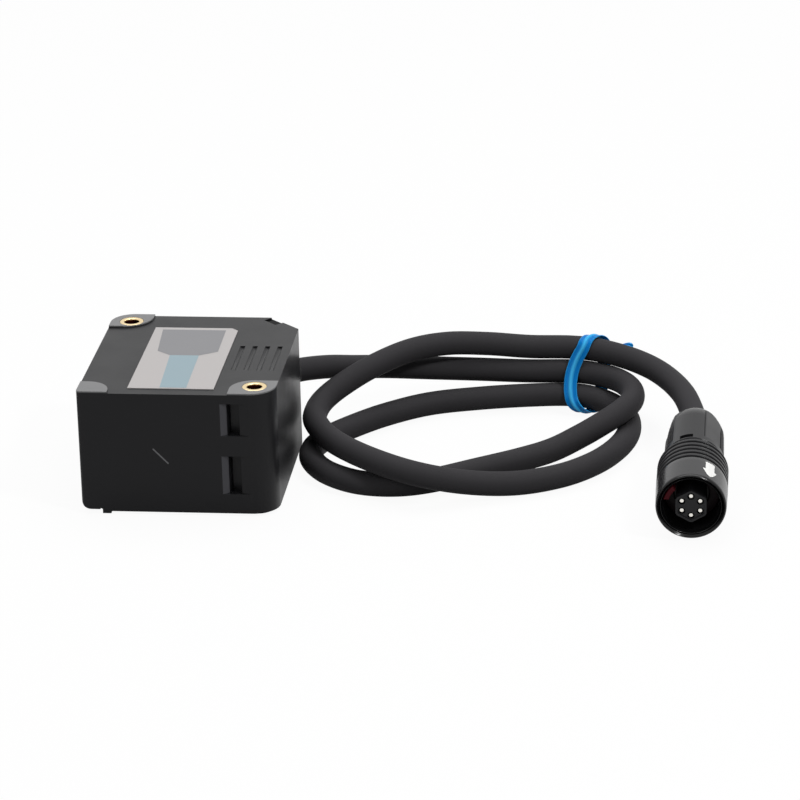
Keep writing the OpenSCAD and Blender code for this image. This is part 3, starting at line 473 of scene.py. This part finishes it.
def tie_loop(radius):
    """Closed path of the tie round its three strands, at a radius from their middles in mm.

    It is a half circle below with some slack, a parabola up the back, a half circle above and a parabola down
    the front. The middle of each half circle drifts from the front's place along the lead to the back's.
    A bell curve then smooths the loop, as the strip is too stiff for sharp bends. Returns, for each point,
    the run in mm, its place, the direction across the strip and the direction out of the loop."""
    # Middles of the lowest, middle and top strand where the front of the strip and its back cross them, in mm
    front = np.array([[79.2, 40.75, 3.5], [79.5, 43.4, 8.4], [82, 44.85, 13.5]])
    rear = np.array([[85.6, 40.4, 3.35], [86, 42.9, 8.2], [86.6, 45.2, 13.15]])
    slack, bell = np.array([0, -1.5, 0]), 0.7
    bend_points, side_points, loop_points = 25, 12, 240
    rise = unit((front[2] + rear[2] - front[0] - rear[0]) * [0, 1, 1])
    across = np.array([0, rise[2], -rise[1]])
    v = np.linspace(0, 1, side_points + 2)[1:-1, None]

    def straight(first, middle, last):
        """Parabola through three points, at even steps between the first and the last."""
        return 2 * (v - 0.5) * (v - 1) * first - 4 * v * (v - 1) * middle + 2 * v * (v - 0.5) * last

    turn = np.linspace(0, np.pi, bend_points)[:, None]
    drift = (1 - np.cos(turn)) / 2
    below = -np.cos(turn) * across - np.sin(turn) * rise
    side = np.repeat(across[None], side_points, 0)
    out = np.vstack([below, side, -below, -side])
    loop = radius * out + np.vstack([
        front[0] * (1 - drift) + rear[0] * drift + np.sin(turn) ** 2 * slack, straight(*rear),
        rear[2] * (1 - drift) + front[2] * drift, straight(*front[::-1])])

    step = np.concatenate([[0], np.cumsum(np.linalg.norm(np.roll(loop, -1, 0) - loop, axis=1))])
    run = np.linspace(0, step[-1], loop_points, endpoint=False)
    both = np.hstack([loop, out])
    both = np.stack([np.interp(run, step, part) for part in np.vstack([both, both[:1]]).T], 1)
    keep = np.exp(-(2 * np.pi * np.fft.fftfreq(loop_points, step[-1] / loop_points) * bell) ** 2 / 2)
    both = np.fft.ifft(np.fft.fft(both, axis=0) * keep[:, None], axis=0).real
    loop, out = both[:, :3], both[:, 3:]
    along = unit(np.roll(loop, -1, 0) - np.roll(loop, 1, 0))
    side = unit(np.cross(out, along))
    return run, loop, side, np.cross(along, side)


def make_sleeve(settings, satin, gloss, polish):
    """Sliding sleeve, turned: a funnel and a rounded lip, a plain band that widens, then grip grooves.

    Returns the two ends of the band, as distances behind the mouth and as radii, in mm."""
    radius, length = settings.sleeve_diameter / MM / 2, settings.sleeve_length / MM
    bore, funnel_depth, funnel_width = 6.45, 0.75, 0.58
    pitch, groove, wall, depth, land = 1.7, 0.9, 0.1, 0.45, 0.1
    lip, lip_depth, back_edge = 0.4, 0.25, 0.3
    band_start, band_inset, band_margin, gloss_margin = 0.7, 0.12, 1.4, 0.15
    first = length - settings.grooves * pitch - land
    band = (band_start, first - band_margin), (radius - band_inset, radius)
    grooves = [point for s in first + pitch * np.arange(settings.grooves) for point in (
        (radius, s), (radius - depth, s + wall), (radius - depth, s + groove - wall), (radius, s + groove))]
    outline = [
        (bore, funnel_depth), (bore + funnel_width, 0), (radius - lip, 0), (radius - lip / 2, lip_depth),
        *zip(band[1], band[0]), *grooves, (radius, length - back_edge), (radius - back_edge, length),
        (bore, length)]
    sleeve = skin("sleeve_skin", turned(eased(outline, radius=0.16)), wrap_u=True, wrap_v=True)
    dress(sleeve, satin, "coupling_sleeve", ["plug_sleeve"])
    finish_by_depth(sleeve, [(funnel_depth, polish), (first - gloss_margin, gloss)])
    return band


def make_shell(settings, dark, polish):
    """Fixed barrel inside the sleeve, turned: a chamfered mouth, a wide bore, a shoulder and a thread."""
    length = settings.sleeve_length / MM
    radius, bore, bore_end, thread_wall = 6.4, 5.9, 11, 1
    mouth, mouth_end, rim_width, rim_depth, polish_margin = 0.45, 1.2, 0.1, 0.05, 0.05
    start, end = length + THREAD_START, length + THREAD_END
    outline = [
        (bore, mouth_end), (radius - rim_width, mouth), (radius, mouth + rim_depth), (radius, start),
        (THREAD, start), (THREAD, end), (THREAD - thread_wall, end), (THREAD - thread_wall, bore_end),
        (bore, bore_end)]
    shell = skin("shell_skin", turned(eased(outline, radius=0.12)), wrap_u=True, wrap_v=True)
    dress(shell, dark, replaces=["plug_shell"])
    finish_by_depth(shell, [(mouth_end - polish_margin, polish)])


def make_nut(settings, cord, satin):
    """Back nut, turned: a collar below the sleeve, a body with three grip flats and a slot, then a dome.

    The dome is a quarter of an ellipse down to a neck round the cord, whose radius in mm is given."""
    radius, length, end = settings.nut_diameter / MM / 2, settings.sleeve_length / MM, settings.length / MM
    start, thread_end = length + THREAD_START, length + THREAD_END
    collar, collar_radius, taper = length + 2.4, 6.3, 0.2
    neck, neck_bore, dome_length = cord + 0.35, cord + 0.1, 7
    fit, seal_wall, seal_start, seal_end = 0.05, 0.3, thread_end + 0.5, thread_end + 4.4
    # Grip flats: distance of their floor from the axis, their front end, their middles and half their width
    flat_floor, flat_start = 5.3, collar + 1.8
    flats, flat_half = np.radians([-160.7, -40.7, 79.3]), math.radians(28.5)
    # Shadow gap at a flat's walls: its width as an angle and along the axis, its depth, and the step it needs
    gap_angle, gap_width, gap_depth, gap_step = 0.05, 0.35, 0.5, 0.3
    # Slot: the radius of its floor, its middle, half its width, and its ends
    slot_floor, slot, slot_half = 5.9, math.radians(-103.3), math.radians(12.4)
    slot_start, slot_end = collar + 0.5, collar + 1.9
    # Only the outer face is cut, which lies beyond this radius, and a flat's formula holds up to this angle
    outer_face, widest = 4.5, 1.2

    def cut(r, s, a):
        """The turned radius, or less on a flat or the slot's floor, with a gap at a flat's walls."""
        for middle in flats:
            off = abs((a - middle + np.pi) % (2 * np.pi) - np.pi)
            flat = flat_floor / np.cos(np.minimum(off, widest))
            gap = np.maximum(
                np.exp(-((flat_half - off) / gap_angle) ** 2), np.exp(-((s - flat_start) / gap_width) ** 2))
            flat = flat - gap_depth * gap * np.clip((r - flat) / gap_step, 0, 1)
            r = np.where((off < flat_half) & (s > flat_start) & (r > outer_face), np.minimum(r, flat), r)
        in_slot = (abs(a - slot) < slot_half) & (s > slot_start) & (s < slot_end) & (r > outer_face)
        return np.where(in_slot, np.minimum(r, slot_floor), r)

    # Extra stations close to the walls of the flats and the slot, round the nut and along it
    wall_steps = (-0.11, -0.08, -0.055, -0.03, -0.003, 0.003)
    cuts = [*((middle, flat_half) for middle in flats), (slot, slot_half)]
    walls = [
        middle + side * (half + step) for middle, half in cuts
        for side in (-1, 1) for step in wall_steps]
    walls = (np.array(walls) + np.pi) % (2 * np.pi) - np.pi
    close, body_points, front_margin, back_margin = 0.02, 14, 0.2, 0.3
    gap_steps = np.array([0.25, 0.4, 0.55])
    dome_start = end - dome_length
    stations = np.sort(np.concatenate([
        np.linspace(collar + front_margin, dome_start - back_margin, body_points), flat_start + gap_steps,
        *((wall - close, wall + close) for wall in (slot_start, flat_start, slot_end))]))
    body = [(radius - taper * (s - collar) / (dome_start - collar), s) for s in stations]
    q = np.radians(np.arange(0, 86, 5))
    dome = zip(neck + (radius - taper - neck) * np.cos(q), dome_start + dome_length * np.sin(q))
    outline = [
        (THREAD + fit, start), (collar_radius, start), (collar_radius, collar), *body, *dome, (neck, end),
        (neck_bore, end), (neck_bore, seal_end), (THREAD - seal_wall, seal_end),
        (THREAD - seal_wall, seal_start), (THREAD + fit, seal_start)]
    nut = skin("nut_skin", turned(np.array(outline), 144, cut, walls), wrap_u=True, wrap_v=True, sharp=30)
    round_edges(nut, 0.12 * MM, 2)
    dress(nut, satin, replaces=["plug_back_nut"])


def make_seal(rubber):
    """Face seal in the plug's mouth, turned from a rounded rectangle."""
    bore, radius, front, back = 3.6, 5.83, 6.2, 7.0
    outline = eased([(bore, front), (radius, front), (radius, back), (bore, back)], radius=0.3)
    seal = skin("seal_skin", turned(outline), wrap_u=True, wrap_v=True)
    dress(seal, rubber, replaces=["plug_seal"])


def make_key(nylon):
    """Locating key: a short rib on the shell's bore, up and to the left, with a rounded section.

    The section is carried round the axis, and the two ends close down to the bore."""
    foot, top, front, back = 5.86, 4.75, 0.7, 4.5
    a = np.radians(np.linspace(-166, -130, 16))[None, :]
    outline = eased([(foot, front), (foot, back), (top, back), (top, front)], radius=0.25)
    r = np.where((a == a.min()) | (a == a.max()), foot, outline[:, 0, None])
    key = skin("locating_mark", on_plug(r, a, outline[:, 1, None]), wrap_u=True)
    dress(key, nylon)


def make_arrow(settings, band, ink):
    """Arrow on the sleeve's band: its half width by the distance behind the mouth, wrapped just above it."""
    radius = settings.sleeve_diameter / MM / 2
    tip, shoulder, barb, end = 1.6, 2.2, 4.4, 7.4
    tip_half, shoulder_half, barb_half, shaft_half = 0.1, 0.75, 1.7, 1.05
    middle, lift, corner = math.radians(-90 + 31), 0.025, 0.0001
    s = np.array([tip, shoulder, barb, barb + corner, end])
    along = np.sort(np.concatenate([np.linspace(tip, end, 40), s]))[:, None]
    half = np.interp(along, s, [tip_half, shoulder_half, barb_half, shaft_half, shaft_half])
    a = middle + np.linspace(-1, 1, 13)[None, :] * half / radius
    arrow = skin("sleeve_arrow", on_plug(np.interp(along, *band) + lift, a, along))
    dress(arrow, ink, "coupling_sleeve")


class SENSOR_OT_stage(bpy.types.Operator):
    """Make the camera, the pale floor, the lamps and the light from all round"""

    bl_idname = "sensor.stage"
    bl_label = "Stage"

    def execute(self, context):
        settings = context.scene.sensor_stage
        scene = context.scene
        scene.view_settings.view_transform = "Standard"

        # Camera fitted to the housing's edges: its place in metres, and its turn, tilt and roll in degrees
        place = (0.133, -0.7705, 0.317)
        turn, tilt, roll = np.radians([6.52, 21.11, -1.42])
        back = np.array([math.sin(turn) * math.cos(tilt), -math.cos(turn) * math.cos(tilt), math.sin(tilt)])
        right = np.array([math.cos(turn), math.sin(turn), 0])
        up = np.cross(back, right)
        sides = np.stack([
            math.cos(roll) * right + math.sin(roll) * up,
            math.cos(roll) * up - math.sin(roll) * right,
            back,
        ], 1)
        data = bpy.data.cameras.new("camera")
        data.lens = settings.lens
        data.clip_start = 0.02
        camera = bpy.data.objects.new("camera", data)
        camera.matrix_world = Matrix.Translation(place) @ Matrix(sides.tolist()).to_4x4()
        scene.collection.objects.link(camera)
        scene.camera = camera

        # Paper floor: mostly its own white to the camera, so that it keeps a faint shadow. A reflection
        # shows more of the lamps' light on it, with the real shadows, and scattered light meets a mid grey
        own_white_seen, own_white_mirrored = 0.94, 0.25
        half_side, drop = 3000, 0.2
        material, tree = blank("Matt white paper sweep")
        seen = looked_at(tree)
        camera_ray = add(tree, "ShaderNodeLightPath").outputs["Is Camera Ray"]
        share = add(tree, "ShaderNodeMapRange", {
            "Value": camera_ray, "To Min": own_white_mirrored, "To Max": own_white_seen})
        share = add(tree, "ShaderNodeMath", {0: seen, 1: share.outputs[0]}, operation="MULTIPLY")
        tone = add(
            tree, "ShaderNodeMix", {0: seen, 6: linear("#8c8c8c"), 7: linear("#f4f4f4")}, data_type="RGBA")
        lit = add(tree, "ShaderNodeBsdfDiffuse", {"Color": tone.outputs[2]})
        own = add(tree, "ShaderNodeEmission", {"Color": (1, 1, 1, 1), "Strength": 1.0})
        both = add(tree, "ShaderNodeMixShader", {0: share.outputs[0], 1: lit.outputs[0], 2: own.outputs[0]})
        add(tree, "ShaderNodeOutputMaterial", {"Surface": both.outputs[0]})
        side = np.linspace(-half_side, half_side, 3)
        u, v = np.meshgrid(side, side, indexing="ij")
        floor = skin("floor", np.stack([u, v, 0 * u - drop], -1))
        floor.data.materials.append(material)

        # Large softbox above and a little behind, a weak one in front and a small bright one at the right:
        # the place, size and aim of each in metres, and its share of the large one's power
        for name, place, size, aim, power in (
            ("softbox_over", (0.05, 0.25, 0.85), (1.0, 0.7), (0.05, 0.02, 0.0), 1.0),
            ("softbox_front", (-0.35, -0.75, 0.55), (0.4, 0.4), (0.04, 0.0, 0.01), 0.25),
            ("softbox_right", (0.51, -0.31, 0.64), (0.12, 0.12), (0.1, 0.0, 0.01), 0.4),
        ):
            lamp = bpy.data.lights.new(name, "AREA")
            lamp.shape = "RECTANGLE"
            lamp.size, lamp.size_y = size
            lamp.energy = settings.softbox * power
            stand = bpy.data.objects.new(name, lamp)
            facing = (Vector(place) - Vector(aim)).to_track_quat("Z", "Y").to_matrix().to_4x4()
            stand.matrix_world = Matrix.Translation(place) @ facing
            scene.collection.objects.link(stand)

        # World: an even fill for the object, and plain white where it is looked at past the floor
        world = bpy.data.worlds.new("white_room")
        world.use_nodes = True
        scene.world = world
        tree = world.node_tree
        tree.nodes.clear()
        level = add(tree, "ShaderNodeMapRange", {
            "Value": looked_at(tree), "To Min": settings.fill, "To Max": 1.0})
        glow = add(tree, "ShaderNodeBackground", {"Color": (1, 1, 1, 1), "Strength": level.outputs[0]})
        add(tree, "ShaderNodeOutputWorld", {"Surface": glow.outputs[0]})
        return {"FINISHED"}


class SENSOR_OT_housing(bpy.types.Operator):
    """Finish the solids of the housing: case, bezel, cover, sleeves, windows, indicator and small hardware"""

    bl_idname = "sensor.housing"
    bl_label = "Housing"

    def execute(self, context):
        settings = context.scene.sensor_head
        # Polyester from a finely eroded tool: black square on, with a soft grey sheen at low angles. The
        # grain is drawn coarser than a real eroded one, so that it shows
        eroded = {"rough": 0.34, "grain": settings.grain / MM, "depth": 0.015, "drift": 0.08, "level": 0.17}
        case = moulded("Charcoal moulded polyester, satin", settings.case_colour, extra=sheen_and_scratch, **eroded)
        bezel = moulded("Near-black moulded polyester, satin", settings.bezel_colour, **eroded)
        # Moulded nitrile: dull black with a soft grain
        rubber = moulded(
            "Black moulded nitrile rubber", "#161617", rough=0.6, grain=0.3, depth=0.01, drift=0.1, level=0.3)
        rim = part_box("mount_sleeve_rear")[1].z
        bright_depth, shaded_depth = 0.15 * MM, 0.45 * MM

        def shaded_bore(tree, where, shade):
            """Pale plating at the sleeves' rims, darkened to red-brown down their bores as painted shade."""
            height = add(tree, "ShaderNodeSeparateXYZ", {0: where}).outputs[2]
            bore_shade = add(tree, "ShaderNodeMapRange", {
                "Value": height, "From Min": rim - shaded_depth, "From Max": rim - bright_depth,
                "To Min": 1.0, "To Max": 0.0})
            # Painted shade: the plating darkens to red-brown down the bores
            mixed = add(
                tree, "ShaderNodeMix", {0: bore_shade.outputs[0], 6: shade, 7: linear("#4a1a10")}, data_type="RGBA")
            return mixed.outputs[2]

        # Turned brass with a yellow plating: a pale gold gloss with fine marks of the tool
        brass = metal("Yellow-plated turned brass", "#ead2a2", rough=0.24, grain=0.5, depth=0.006,
                      stretch=(0.3, 0.3, 1), extra=shaded_bore)
        # Nickel plating on steel: a cool, slightly clouded shine
        steel = metal("Nickel-plated steel", "#b9b9bb", rough=0.3, grain=0.4, depth=0.004)
        # Smoked polycarbonate off a polished tool: black, with a smooth face
        smoked = moulded("Smoked polycarbonate, polished", "#060607", rough=0.12, grain=4, depth=0.002,
                         drift=0.1, level=0.02)
        # Polished panes: one clear with a faint warm tint, one a deep red filter
        clear = pane("Coated window glass", "#f2e6e6", rough=0.02)
        red = pane("Red filter glass", "#7a1a20", rough=0.02)
        coat({
            "case": case, "base_cover": bezel, "front_bezel": bezel, "cover_seal": rubber,
            "cover_screws": steel, "mount_sleeve_front": brass, "mount_sleeve_rear": brass,
            "indicator_lens": smoked, "laser_window": clear, "receiver_window": red, "cable_gland": rubber,
        })
        for name in ("case", "front_bezel", "base_cover", "mount_sleeve_front", "mount_sleeve_rear"):
            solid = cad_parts[name]
            weld = solid.modifiers.new("weld", "WELD")
            weld.merge_threshold = MERGE_SOLID
            round_edges(solid, settings.edge, 3).harden_normals = True
        return {"FINISHED"}


class SENSOR_OT_inside(bpy.types.Operator):
    """Finish the optics, boards and wiring inside the case"""

    bl_idname = "sensor.inside"
    bl_label = "Inside"

    def execute(self, context):
        # Milled aluminium: bright grey with long marks of the cutter
        alloy = metal("Milled aluminium", "#b4b4b8", rough=0.35, grain=0.6, depth=0.006, stretch=(1, 0.2, 1))
        # Anodised black: a dark grey sheen that keeps stray light down
        black = metal("Black anodised aluminium", "#3a3a3d", rough=0.42, grain=0.4, depth=0.004)
        # Gold plating: warm and bright
        gold = metal("Gold-plated brass", "#e0bd6c", rough=0.22, grain=0.4, depth=0.003)
        # Zinc plating: pale blue-grey, slightly dull
        zinc = metal("Zinc-plated steel", "#a9abb0", rough=0.3, grain=0.4, depth=0.004)
        # Solder mask: a green gloss whose tone varies with what lies below
        board = moulded(
            "Green solder mask on glass laminate", "#1f5a30", rough=0.35, grain=0.5, depth=0.006, drift=0.25)
        # Crown glass: clear and polished
        lens = pane("Polished crown glass", "#f4faff", rough=0.01, ior=1.52)
        # Epoxy package: black and half matt
        chip = moulded("Black moulded epoxy", "#1c1c20", rough=0.45, grain=0.2, depth=0.006)
        # Nylon: an even warm white
        ivory = moulded("Ivory moulded nylon", "#e4dfce", rough=0.4, grain=0.4, depth=0.006, drift=0.05)
        # Extruded insulation of the cores: pale grey, slightly uneven
        cores = moulded("Grey core bundle, extruded", "#b4b0a4", rough=0.5, grain=0.6, depth=0.02, drift=0.1)
        # Silicone: a soft dull grey
        silicone = moulded("Grey silicone rubber", "#4a4a4c", rough=0.55, grain=0.4, depth=0.01)
        coat({
            "optics_block": alloy, "diode_holder": gold, "collimator_lens": lens, "laser_diode": gold,
            "laser_board": board, "lens_holder": black, "receiver_lens": lens, "lens_ring": black,
            "position_detector": chip, "detector_board": board, "main_board": board, "board_screws": zinc,
            "board_connector": ivory, "indicator_led": ivory, "lead_cores": cores,
            "plug_cable_seal": silicone,
        })
        return {"FINISHED"}


class SENSOR_OT_label(bpy.types.Operator):
    """Finish the label and lay its plain printed fields on it"""

    bl_idname = "sensor.label"
    bl_label = "Label"

    def execute(self, context):
        settings = context.scene.sensor_head
        # Polyester label film and the inks on it: smooth and satin, with hardly any grain
        smooth = {"grain": 1.5, "depth": 0.003, "level": 0.4}
        film = moulded("Polyester label film, satin", settings.label_colour, rough=0.4, drift=0.03, **smooth)
        grey = moulded("Grey ink on film", settings.field_colour, rough=0.38, drift=0.06, **smooth)
        blue = moulded("Blue-grey ink on film", settings.stem_colour, rough=0.38, drift=0.06, **smooth)
        coat({"label": film})
        ink_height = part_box("label")[1].z / MM + 0.02
        rows, columns = 81, 9

        def field(name, stations, material):
            """Flat field between a left and a right edge, straight from station to station."""
            at, whole = np.linspace(0, len(stations) - 1, rows), np.arange(len(stations))
            y, left, right = (np.interp(at, whole, v)[:, None] for v in zip(*stations))
            x = left + np.linspace(0, 1, columns)[None, :] * (right - left)
            grid = np.stack(np.broadcast_arrays(x, y, ink_height), -1)
            dress(skin(name, grid), material)

        # Stations of the fields in mm: the place along the label, and the left and right edge there
        joint = (-0.9, -4.6, 1.7)
        field("label_field", [(15, -8.7, 5.3), (1.6, -7.7, 5.5), joint], grey)
        field("label_stem", [joint, (-20.3, -3.7, 2.0)], blue)
        return {"FINISHED"}


class SENSOR_OT_tie(bpy.types.Operator):
    """Make the twisted tie that holds the loops of the lead together"""

    bl_idname = "sensor.tie"
    bl_label = "Tie"

    def execute(self, context):
        settings = context.scene.sensor_lead
        half = settings.tie_width / MM / 2
        # Painted highlights over the wire's ridge and at the rims: distances from the middle in mm where each
        # is full and gone, and its strength
        ridge_highlight, rim_highlight = (0.2, 0.62, 0.95), (half - 0.08, half - 0.22, 0.4)

        def highlighted(tree, where, shade):
            """Colour by the distance from the strip's middle: painted highlights over the wire's ridge and at
            the rims.
            """
            across = add(tree, "ShaderNodeSeparateXYZ", {0: where}).outputs[1]
            off = add(tree, "ShaderNodeMath", {0: across}, operation="ABSOLUTE").outputs[0]
            for full, gone, strength in (ridge_highlight, rim_highlight):
                mask = add(tree, "ShaderNodeMapRange", {
                    "Value": off, "From Min": full * MM, "From Max": gone * MM,
                    "To Min": strength, "To Max": 0.0})
                mixed = add(
                    tree, "ShaderNodeMix", {0: mask.outputs[0], 6: shade, 7: linear(settings.tie_highlight)},
                    data_type="RGBA")
                shade = mixed.outputs[2]
            return shade

        # PVC strip over a soft wire: a clear blue, with a raised line down the middle over the wire that
        # carries a painted highlight
        strip = moulded("Azure PVC strip over wire", settings.tie_colour, rough=0.3, grain=0.8, depth=0.004,
                        drift=0.06, level=0.08, place="UV", extra=highlighted)

        # Section of the strip: a flat band whose outer face swells over the wire as a bell curve
        thick, swell, wire, rim, columns = 0.24, 0.34, 0.42, 0.13, 25
        w = np.linspace(-half, half, columns)
        outer = thick + swell * np.exp(-(w / wire) ** 2)
        outer[[0, -1]] = rim
        profile = np.vstack([np.stack([w, outer], 1), np.stack([w[::-1], np.zeros(columns)], 1)])

        # Band: the section carried along the loop round the strands
        clear = 0.14
        run, loop, side, out = tie_loop(settings.diameter / MM / 2 + clear)
        grid = loop[:, None] + side[:, None] * profile[None, :, :1] + out[:, None] * profile[None, :, 1:]
        uv = np.stack(np.broadcast_arrays(run[:, None], profile[None, :, 0]), -1) * MM
        band = skin("tie_band", grid, wrap_u=True, wrap_v=True, uv=uv)
        dress(band, strip, replaces=["cable_tie"])

        # Two ends twisted round each other behind the strands: the same section, turned steadily as it goes
        start, end = np.array([86.2, 47.7, 12.0]), np.array([92.7, 49.5, 12.6])
        twist, rows, length, fold = 5.5, 90, 7, 2.6
        s = np.linspace(0, 1, rows)[:, None]
        line = start + (end - start) * s
        ahead = unit(end - start)
        level = unit(np.cross([0, 0, 1], ahead))
        top = np.cross(ahead, level)
        # The twist opens towards its end as a cube and closes there in a round tip
        narrow, opening, tip_start, tip_close = 0.42, 0.2, 0.8, 0.98
        tip = np.clip((s - tip_start) / (1 - tip_start), 0, 1)
        size = (narrow + opening * s ** 3) * np.sqrt(1 - tip ** 2 * tip_close)
        x, y = size * profile[None, :, 0], size * profile[None, :, 1] * fold
        uv = np.stack(np.broadcast_arrays(length * s, profile[None, :, 0]), -1) * MM
        for name, phase in (("tie_end_1", 0), ("tie_end_2", np.pi)):
            a = phase + twist * s
            grid = (line[:, None] + level * (x * np.cos(a) - y * np.sin(a))[..., None]
                    + top * (x * np.sin(a) + y * np.cos(a))[..., None])
            tail = skin(name, grid, wrap_v=True, uv=uv)
            tail.parent = band
            tail.data.materials.append(strip)
        return {"FINISHED"}


class SENSOR_OT_plug(bpy.types.Operator):
    """Make the round plug: sliding sleeve, shell, contact carrier, contacts, seal, key and back nut"""

    bl_idname = "sensor.plug"
    bl_label = "Plug"

    def execute(self, context):
        settings = context.scene.sensor_plug
        smooth = {"grain": 0.6, "depth": 0.004, "drift": 0.08}
        # Polyester off a plain tool: satin black on the ribs and the nut
        satin = moulded("Black moulded polyester, satin", settings.colour, rough=0.3, level=0.2, **smooth)
        # The same off a smoother tool: a grey gloss on the band behind the mouth
        gloss = moulded("Black moulded polyester, glossy", settings.colour, rough=0.24, level=0.5, **smooth)
        # Polished lip: deeper black than the plug's other mouldings as painted shade, with small sharp glints
        polish = moulded("Black moulded polyester, polished", "#0a0a0b", rough=0.16, grain=0.6, depth=0.002,
                         drift=0.08, level=0.25)
        # Barrel: darker than the plug's other mouldings as painted shade, so that the mouth stays dark
        dark = moulded("Black moulded polyester, matt", "#0b0b0c", rough=0.5, level=0.1, **smooth)
        # Nylon: a dull black that shows up grey in the dark mouth
        matt = moulded("Black moulded nylon", "#171719", rough=0.42, grain=0.4, depth=0.006, drift=0.08,
                       level=0.25)
        # Nickel plating: the pins are bright dots in the dark carrier
        nickel = metal("Nickel-plated contact brass", "#e9e6df", rough=0.2, grain=0.4, depth=0.002)
        # Silicone: nearly black, with a trace of red
        red = moulded("Dark red silicone rubber", settings.seal_colour, rough=0.45, grain=0.5, depth=0.006,
                      drift=0.08, level=0.12)
        # Dyed nylon: a dark red patch in the mouth
        key = moulded("Dark red moulded nylon", settings.key_colour, rough=0.4, grain=0.5, depth=0.006,
                      drift=0.08, level=0.1)
        # Pad print: an even white
        ink = moulded("White pad-printed ink", settings.mark_colour, rough=0.45, grain=0.4, depth=0.004,
                      drift=0.03, level=0.4)
        band = make_sleeve(settings, satin, gloss, polish)
        make_shell(settings, dark, polish)
        make_nut(settings, context.scene.sensor_lead.diameter / MM / 2, satin)
        coat({"plug_insert": matt, "insert_base": matt, "plug_contacts": nickel})
        make_seal(red)
        make_key(key)
        make_arrow(settings, band, ink)
        return {"FINISHED"}


class SENSOR_OT_lead(bpy.types.Operator):
    bl_idname = "sensor.lead"
    bl_label = "Lead"

    def execute(self, context):
        settings = context.scene.sensor_lead
        # Extruded PVC: matt dark grey with hardly any sheen and a fine grain
        jacket = moulded("Black PVC jacket, matt extruded", settings.jacket_colour, rough=0.6, grain=0.35,
                         depth=0.012, drift=0.1, level=0.03)
        settled = ROUTE.copy()
        settled[list(PULL), 2] -= list(PULL.values())
        path = smooth_route(settled)
        sides = 36
        a = np.linspace(0, 2 * np.pi, sides, endpoint=False)
        profile = settings.diameter / MM / 2 * np.stack([np.cos(a), np.sin(a)], 1)
        length = np.concatenate([[0], np.cumsum(np.linalg.norm(np.diff(path, axis=0), axis=1))])
        uv = np.stack(np.broadcast_arrays(length[:, None] * MM, (a * settings.diameter / 2)[None, :]), -1)
        tube = skin("lead_jacket", swept(path, profile), wrap_v=True, uv=uv)
        dress(tube, jacket, replaces=["lead"])
        on_it = [context.scene.objects[name] for name in (
            "tie_band", "sleeve_skin", "shell_skin", "nut_skin", "seal_skin", "locating_mark",
            "sleeve_arrow")]
        on_it += [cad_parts[name] for name in (
            "plug_insert", "insert_base", "plug_contacts", "plug_cable_seal", "cable_gland")]
        return {"FINISHED"}


class SENSOR_PT_panel(bpy.types.Panel):
    """Sizes, colours and pieces of the sensor"""

    bl_idname = "SENSOR_PT_panel"
    bl_label = "Laser displacement sensor"
    bl_space_type = "VIEW_3D"
    bl_region_type = "UI"
    bl_category = "Sensor"

    def draw(self, context):
        for group in GROUPS:
            settings = getattr(context.scene, group)
            box = self.layout.box()
            for name in settings.__annotations__:
                box.prop(settings, name)
        for operator in STEPS:
            self.layout.operator(operator.bl_idname)


GROUPS = {
    "sensor_stage": StageSettings, "sensor_head": HeadSettings, "sensor_lead": LeadSettings,
    "sensor_plug": PlugSettings,
}
STEPS = (
    SENSOR_OT_stage, SENSOR_OT_housing, SENSOR_OT_inside, SENSOR_OT_label, SENSOR_OT_tie, SENSOR_OT_plug,
    SENSOR_OT_lead,
)
CLASSES = (*GROUPS.values(), *STEPS, SENSOR_PT_panel)


def register():
    for made in CLASSES:
        bpy.utils.register_class(made)
    for name, group in GROUPS.items():
        setattr(bpy.types.Scene, name, bpy.props.PointerProperty(type=group))


def unregister():
    for name in GROUPS:
        delattr(bpy.types.Scene, name)
    for made in reversed(CLASSES):
        bpy.utils.unregister_class(made)


def main():
    """Make every piece in order."""
    register()
    for step in STEPS:
        group, name = step.bl_idname.split(".")
        getattr(getattr(bpy.ops, group), name)()
    bpy.context.view_layer.update()


if __name__ == "__main__":
    main()
